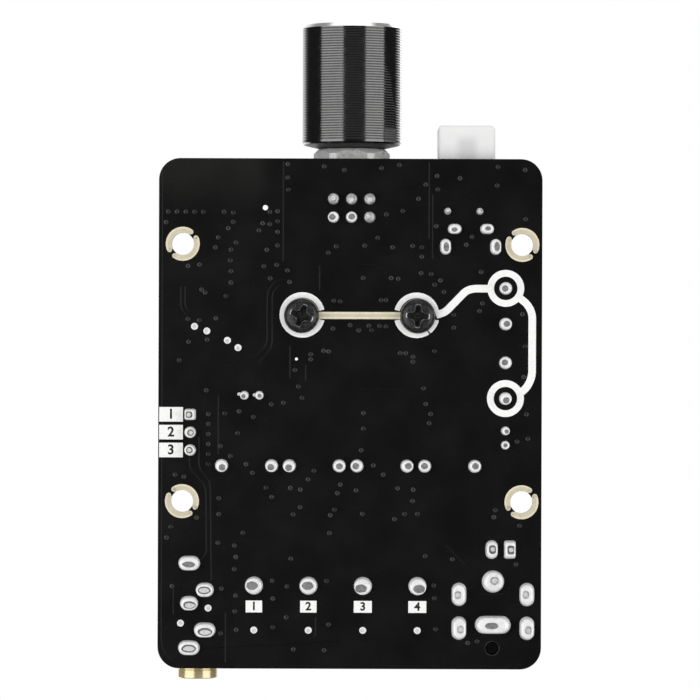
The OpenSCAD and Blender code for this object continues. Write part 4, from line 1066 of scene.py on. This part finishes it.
class AMPBOARD_OT_capacitors(bpy.types.Operator):
    """Turn the capacitors and their printed sleeves"""
    bl_idname = "ampboard.capacitors"
    bl_label = "Capacitors"

    def execute(self, context):
        can = surface("Drawn aluminium", (0.68, 0.68, 0.68), 0.34, metallic=0.85, mottle=0.05,
                      patch=0.6, spread=0.08, bump=0.25, grain=0.1)
        sleeve = surface("Shrink sleeve", (0.014, 0.016, 0.02), 0.26, mottle=0.12, patch=1.5,
                         bump=0.08, grain=0.4)
        stripe = (0.5, 0.5, 0.47)
        tint(sleeve, part_of_axis(sleeve, "X", BULK_X + 4.28, BULK_X + 4.34), stripe)
        small = surface("Small sleeve", (0.014, 0.016, 0.02), 0.28, mottle=0.12, patch=1.0, bump=0.08,
                        grain=0.4)
        small_x = SMALL_CAPS[0][0]
        tint(small, product(small, part_of_axis(small, "X", small_x + 2.1, small_x + 2.15),
                            part_of_axis(small, "Y", 5.0, 5.1)), stripe)
        for node in ("bulk_capacitor_1", "bulk_capacitor_2"):
            dress(node, can, 0.05)
        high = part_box("bulk_capacitor_sleeves")[1].z / MM - TOP - 0.15
        bm = bmesh.new()
        for y in BULK_Y:
            turned(bm, [(4.87, 0.15), (4.97, 0.15), (5.0, 0.4), (5.0, 1.5), (4.86, 1.8), (4.82, 2.05),
                        (4.86, 2.3), (5.0, 2.6), (5.0, high - 0.3), (4.93, high - 0.02),
                        (4.72, high + 0.13), (4.4, high + 0.15), (3.72, high + 0.15),
                        (3.7, high + 0.03), (4.4, high + 0.02), (4.86, high - 0.42), (4.87, 0.15)],
                   at(BULK_X, y, TOP), UP, 72)
        shade(bm, 40)
        finished_piece("capacitor_sleeves", bm, "board", [sleeve],
                       ["bulk_capacitor_sleeves"])
        for number, (x, y) in enumerate(SMALL_CAPS, 1):
            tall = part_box(f"small_capacitor_{number}")[1].z / MM - TOP
            bm = bmesh.new()
            turned(bm, [(0, 0), (2.2, 0), (2.32, 0.12), (2.36, 0.95), (2.16, 1.15), (2.12, 1.3),
                        (2.2, 1.45), (2.5, 1.75), (2.5, tall - 0.4), (2.42, tall - 0.12),
                        (2.2, tall), (1.75, tall), (1.7, tall - 0.09), (0, tall - 0.09)],
                   at(x, y, TOP), UP, 48)
            for face in bm.faces:
                middle = face.calc_center_median() - at(x, y, TOP)
                if middle.z > (tall - 0.2) * MM and middle.xy.length < 1.72 * MM:
                    face.material_index = 1
            shade(bm, 40)
            finished_piece(f"small_sleeve_{number}", bm, "board", [small, can],
                           [f"small_capacitor_{number}"])
        return {"FINISHED"}


class AMPBOARD_OT_terminals(bpy.types.Operator):
    """Finish the speaker terminal block, its screws and clamps"""
    bl_idname = "ampboard.terminals"
    bl_label = "Speaker terminals"

    def execute(self, context):
        green = surface("Green plastic", (0.016, 0.15, 0.07), 0.36, mottle=0.07, patch=2.5, bump=0.2,
                        grain=0.12)
        steel = surface("Zinc screws", (0.6, 0.6, 0.6), 0.32, metallic=0.85, mottle=0.06, patch=0.5,
                        spread=0.08, bump=0.2)
        brass = surface("Brass clamps", (0.6, 0.46, 0.2), 0.34, metallic=0.85, mottle=0.08, patch=0.6,
                        spread=0.08, bump=0.2)
        dress("terminal_housing", green, 0.15)
        for number in range(1, 5):
            dress(f"terminal_screw_{number}", steel, 0.12)
            dress(f"terminal_clamp_{number}", brass, 0.1)
        return {"FINISHED"}


class AMPBOARD_OT_sockets(bpy.types.Operator):
    """Finish the power and audio sockets and turn the gold ferrule"""
    bl_idname = "ampboard.sockets"
    bl_label = "Sockets"

    def execute(self, context):
        black = surface("Socket plastic", (0.016, 0.016, 0.017), 0.42, mottle=0.15, patch=1.2,
                        bump=0.3, grain=0.1, Specular_IOR_Level=0.15)
        shell = surface("Tinned shell", (0.6, 0.6, 0.6), 0.34, metallic=0.8, mottle=0.04, patch=4.0,
                        spread=0.03, bump=0.06, grain=0.3, stretch=(1, 0.2, 1))
        brass = surface("Spring brass", (0.6, 0.46, 0.2), 0.34, metallic=0.85, mottle=0.08, patch=0.6)
        gold = surface("Gold ferrule", (0.86, 0.73, 0.44), 0.18, metallic=0.6, mottle=0.06,
                       patch=0.5, spread=0.06, bump=0.15, grain=0.08)
        # Painted shade: what goes down into the board is tinted a deeper black, standing in for the
        # shadow in its holes, and the spring is tinned below it
        tint(black, part_of_axis(black, "Z", 0.6, 0.3), (0.001, 0.001, 0.001))
        tint(brass, part_of_axis(brass, "Z", 0.1, -0.1), (0.5, 0.5, 0.5))
        for node, finish, edge in (
                ("dc_jack_housing", black, 0.12), ("dc_jack_shield", shell, 0.08),
                ("dc_jack_pin", shell, 0.12), ("dc_jack_spring", brass, 0.05),
                ("audio_jack_housing", black, 0.12)):
            dress(node, finish, edge)
        low, high = (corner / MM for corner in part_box("audio_jack_ferrule"))
        middle = (low + high) / 2
        r, length, bore = (high.x - low.x) / 2, high.y - low.y, 1.85
        bm = bmesh.new()
        turned(bm, [(bore, 0), (r - 0.1, 0), (r, 0.1), (r, length - 1.35), (r - 0.09, length - 1.27),
                    (r - 0.09, length - 1.19), (r, length - 1.11), (r, length - 0.1),
                    (r - 0.1, length), (2.1, length), (bore, length - 0.25), (bore, 0)],
               at(middle.x, low.y, middle.z), REAR)
        shade(bm, 40)
        finished_piece("gold_ferrule", bm, "board", [gold], ["audio_jack_ferrule"])
        return {"FINISHED"}


class AMPBOARD_OT_headers(bpy.types.Operator):
    """Finish the two wire headers"""
    bl_idname = "ampboard.headers"
    bl_label = "Wire headers"

    def execute(self, context):
        nylon = surface("Natural nylon", (0.72, 0.69, 0.6), 0.45, mottle=0.04, patch=2.0, bump=0.15,
                        Subsurface_Weight=0.15, Subsurface_Scale=0.4 * MM)
        dress("input_header", nylon, 0.1)
        dress("power_header", nylon, 0.1)
        return {"FINISHED"}


class AMPBOARD_OT_chips(bpy.types.Operator):
    """Place the small chips, the crystal and the chip resistors and capacitors"""
    bl_idname = "ampboard.chips"
    bl_label = "Chips"

    def execute(self, context):
        epoxy = surface("Small chip epoxy", (0.024, 0.024, 0.025), 0.5, mottle=0.2, patch=0.25,
                        bump=0.5, grain=0.08)
        tin = surface("Tinned ends", (0.66, 0.66, 0.66), 0.36, metallic=0.75, mottle=0.08, patch=0.3,
                      bump=0.4, grain=0.15)
        ceramic = surface("Brown ceramic", (0.3, 0.21, 0.13), 0.45, mottle=0.15, patch=0.3, bump=0.3)
        resistor = surface("Resistor glaze", (0.02, 0.021, 0.024), 0.3, mottle=0.15, patch=0.3)
        steel = surface("Crystal can", (0.62, 0.62, 0.62), 0.3, metallic=0.85, mottle=0.05, patch=0.6,
                        bump=0.15)
        bm = bmesh.new()
        block(bm, (-20.8, -15.6, TOP), (-14.8, -9.6, TOP + 0.9), 0.06)
        flat_ring(bm, (-20.1, -14.9), 0.28, 0.42, TOP + 0.88, TOP + 0.905, steps=24)
        block(bm, (-20.6, -3.1, TOP + 0.12), (-16.6, 1.9, TOP + 1.5), 0.12)
        chip = Vector((-17.8, -12.6, TOP))
        out, along, tall = 0.11, 0.13, 0.22
        for i in range(10):
            step = -2.25 + 0.5 * i
            for side in (-1, 1):
                for place, half in ((Vector((side * 2.9, step, 0)), Vector((out, along, 0))),
                                    (Vector((step, side * 2.9, 0)), Vector((along, out, 0)))):
                    block(bm, chip + place - half, chip + place + half + UP * tall, index=1)
        for i in range(4):
            y = -2.5 + 1.27 * i
            block(bm, (-20.62, y - 0.2, TOP), (-16.58, y + 0.2, TOP + 0.32), 0.03, index=1)
        shade(bm, 30)
        finished_piece("control_chips", bm, "board", [epoxy, tin], ["small_chips"])

        bm = bmesh.new()
        block(bm, (-24.65, -13.6, TOP), (-22.15, -10.4, TOP + 0.55), 0.1)
        block(bm, (-24.45, -13.4, TOP + 0.5), (-22.35, -10.6, TOP + 0.8), 0.12, 3)
        shade(bm, 30)
        finished_piece("crystal", bm, "board", [steel], ["crystal_can"])

        bm = bmesh.new()
        rows = [[(-16.5 + 4.2 * i, 21.2, 1.6, 3.2, 1.2, 2) for i in range(8)],
                [(x, 25.6, 2.0, 1.25, 0.8, 0) for x in WAY_X],
                [(-12.3, -17 + 2.6 * i, 2.0, 1.25, 0.8, 2 * (i % 2)) for i in range(5)],
                [(14.2, -13 + 2.6 * i, 2.0, 1.25, 0.8, 2 * (i % 2)) for i in range(5)],
                [(-23.6 + 2.4 * i, -6.6, 1.25, 2.0, 0.8, 0) for i in range(4)]]
        for x, y, wide, deep, tall, index in (chip for row in rows for chip in row):
            self.chip(bm, x, y, wide, deep, tall, index)
        shade(bm, 30)
        finished_piece("chip_parts", bm, "board", [resistor, tin, ceramic],
                       ["chip_passives"])
        return {"FINISHED"}

    @staticmethod
    def chip(bm, x, y, wide, deep, tall, index):
        """A small block with a tinned cap over each of its ends."""
        half = Vector((wide / 2, deep / 2, 0))
        long_way = Vector((1, 0, 0)) if wide > deep else REAR
        inset = Vector((0.035, 0.035, 0))
        base = Vector((x, y, TOP))
        block(bm, base - half + inset, base + half - inset + UP * (tall - 0.05), 0.03, index=index)
        end = 0.22 * max(wide, deep)
        across = half - Vector([abs(a * b) for a, b in zip(half, long_way)])
        for side in (-1, 1):
            middle = base + long_way * side * (max(wide, deep) - end) / 2
            reach = across + long_way * end / 2
            block(bm, middle - reach, middle + reach + UP * tall, 0.06, index=1)


class AMPBOARD_OT_stage(bpy.types.Operator):
    """Set the camera, the lamps, the world and the floor"""
    bl_idname = "ampboard.stage"
    bl_label = "Stage"

    def execute(self, context):
        settings = context.scene.ampboard_stage
        context.scene.view_settings.view_transform = "Standard"
        self.camera(context, settings)
        side, top = settings.side_light, settings.top_light
        for name, place, size, brightness in (
                ("Left soft box", (-0.524, 0, -0.464), (0.76, 0.744), side),
                ("Right soft box", (0.580, 0, -0.392), (0.76, 0.63), side),
                ("Low front box", (0, -0.63, -0.57), (0.8, 0.3), side * 0.1),
                ("Low rear box", (0, 0.63, -0.57), (0.8, 0.3), side * 0.1),
                ("Front soft box", (0, -0.9, 0.06), (0.7, 0.45), top),
                ("Key soft box", (0.33, -0.4, 0.87), (0.6, 0.6), top),
                ("Fill soft box", (-0.38, 0.36, 0.87), (0.6, 0.6), top * 0.7)):
            self.soft_box(context, name, place, size, brightness)
        self.world(context)
        self.floor(context, settings)
        return {"FINISHED"}

    @staticmethod
    def camera(context, settings):
        """A long lens under the board that looks straight up at the solder side."""
        data = bpy.data.cameras.new("Photo camera")
        data.lens = settings.lens
        data.sensor_width = 36
        data.clip_start, data.clip_end = 0.01, 20
        camera = bpy.data.objects.new("Photo camera", data)
        camera.matrix_world = (Matrix.Translation((-0.000308, -0.003217, -settings.distance))
                               @ Matrix.Rotation(math.pi, 4, "X")
                               @ Matrix.Rotation(settings.roll, 4, "Z"))
        context.scene.collection.objects.link(camera)
        context.scene.camera = camera

    @staticmethod
    def soft_box(context, name, place, size, brightness):
        """A rectangular lamp aimed at the middle of the board."""
        data = bpy.data.lights.new(name, "AREA")
        data.shape = "RECTANGLE"
        data.size, data.size_y = size
        data.energy = brightness * math.pi * size[0] * size[1]
        lamp = bpy.data.objects.new(name, data)
        lamp.location = place
        lamp.rotation_euler = (-Vector(place)).to_track_quat("-Z", "Y").to_euler()
        lamp.visible_camera = False
        context.scene.collection.objects.link(lamp)

    @staticmethod
    def world(context):
        """White behind the object, dim on the camera's side, and an even fill light."""
        world = bpy.data.worlds.new("Studio")
        context.scene.world = world
        world.use_nodes = True
        tree = world.node_tree
        ray = add_node(tree, "LightPath")
        coord = add_node(tree, "TexCoord")
        split = add_node(tree, "SeparateXYZ", {"Vector": coord.outputs["Generated"]})
        height = add_node(tree, "MapRange", {
            "From Min": 0.6, "From Max": 0.92, "To Min": 0.04, "To Max": 0.95,
            "Value": split.outputs["Z"]}, interpolation_type="SMOOTHSTEP")
        shiny = add_node(tree, "Math", {
            0: ray.outputs["Is Glossy Ray"], 1: ray.outputs["Is Transmission Ray"]},
            operation="MAXIMUM")
        fill = add_node(tree, "Mix", {
            "Factor": shiny.outputs["Value"], "A": 0.5, "B": height.outputs["Result"]})
        seen = add_node(tree, "Mix", {
            "Factor": ray.outputs["Is Camera Ray"], "A": fill.outputs["Result"], "B": 1.0})
        background = tree.nodes["Background"]
        background.inputs["Color"].default_value = (1, 1, 1, 1)
        tree.links.new(seen.outputs["Result"], background.inputs["Strength"])

    @staticmethod
    def floor(context, settings):
        """A pale round floor under the board that fades into the white and is clear from below."""
        paint = bpy.data.materials.new("Pale floor")
        paint.use_nodes = True
        tree = paint.node_tree
        shader = tree.nodes["Principled BSDF"]
        shader.inputs["Base Color"].default_value = list(settings.floor_colour) + [1]
        shader.inputs["Roughness"].default_value = 0.8
        shader.inputs["Specular IOR Level"].default_value = 0.1
        coord = add_node(tree, "TexCoord")
        reach = add_node(tree, "VectorMath", {0: coord.outputs["Object"]}, operation="LENGTH")
        fade = add_node(tree, "MapRange", {
            "From Min": 0.08, "From Max": 0.26, "Value": reach.outputs["Value"]},
            interpolation_type="SMOOTHSTEP")
        facing = add_node(tree, "NewGeometry")
        clear = add_node(tree, "Math", {
            0: fade.outputs["Result"], 1: facing.outputs["Backfacing"]}, operation="MAXIMUM")
        gone = add_node(tree, "BsdfTransparent")
        mix = add_node(tree, "MixShader", {
            "Fac": clear.outputs["Value"], 1: shader.outputs["BSDF"], 2: gone.outputs["BSDF"]})
        tree.links.new(mix.outputs["Shader"], tree.nodes["Material Output"].inputs["Surface"])
        bm = bmesh.new()
        bmesh.ops.create_circle(bm, cap_ends=True, radius=0.3, segments=96,
                                matrix=Matrix.Translation((0, 0, CAD_LOW[2] - 0.00005)))
        for face in bm.faces:
            face.normal_update()
            if face.normal.z < 0:
                face.normal_flip()
        mesh = bpy.data.meshes.new("Floor")
        bm.to_mesh(mesh)
        bm.free()
        mesh.materials.append(paint)
        floor = bpy.data.objects.new("Floor", mesh)
        for ray in ("diffuse", "glossy", "transmission", "shadow"):
            setattr(floor, "visible_" + ray, False)
        context.scene.collection.objects.link(floor)
        floor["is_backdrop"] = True


class AMPBOARD_PT_panel(bpy.types.Panel):
    """Lists the steps that build the dressed board"""
    bl_label = "Amplifier board"
    bl_idname = "AMPBOARD_PT_panel"
    bl_space_type = "VIEW_3D"
    bl_region_type = "UI"
    bl_category = "Amplifier board"

    def draw(self, context):
        for step in STEPS:
            self.layout.operator(step.bl_idname, text=step.bl_label)


GROUPS = {"ampboard_board": BoardSettings, "ampboard_solder": SolderSettings,
          "ampboard_controls": ControlSettings, "ampboard_stage": StageSettings}
STEPS = (AMPBOARD_OT_board, AMPBOARD_OT_lands, AMPBOARD_OT_marks, AMPBOARD_OT_solder,
         AMPBOARD_OT_screws, AMPBOARD_OT_knob, AMPBOARD_OT_volume, AMPBOARD_OT_button,
         AMPBOARD_OT_heatsink, AMPBOARD_OT_coils, AMPBOARD_OT_capacitors, AMPBOARD_OT_terminals,
         AMPBOARD_OT_sockets, AMPBOARD_OT_headers, AMPBOARD_OT_chips, AMPBOARD_OT_stage)
CLASSES = (*GROUPS.values(), *STEPS, AMPBOARD_PT_panel)


def register():
    """Registers the classes and hangs their settings on the scene."""
    for item in CLASSES:
        bpy.utils.register_class(item)
    for name, group in GROUPS.items():
        setattr(bpy.types.Scene, name, PointerProperty(type=group))


def unregister():
    """Takes the settings and the classes away again."""
    for name in GROUPS:
        delattr(bpy.types.Scene, name)
    for item in reversed(CLASSES):
        bpy.utils.unregister_class(item)


def main():
    """Builds the dressed board step by step."""
    register()
    bpy.ops.ampboard.board()
    bpy.ops.ampboard.lands()
    bpy.ops.ampboard.marks()
    bpy.ops.ampboard.solder()
    bpy.ops.ampboard.screws()
    bpy.ops.ampboard.knob()
    bpy.ops.ampboard.volume()
    bpy.ops.ampboard.button()
    bpy.ops.ampboard.heatsink()
    bpy.ops.ampboard.coils()
    bpy.ops.ampboard.capacitors()
    bpy.ops.ampboard.terminals()
    bpy.ops.ampboard.sockets()
    bpy.ops.ampboard.headers()
    bpy.ops.ampboard.chips()
    bpy.ops.ampboard.stage()


if __name__ == "__main__":
    main()
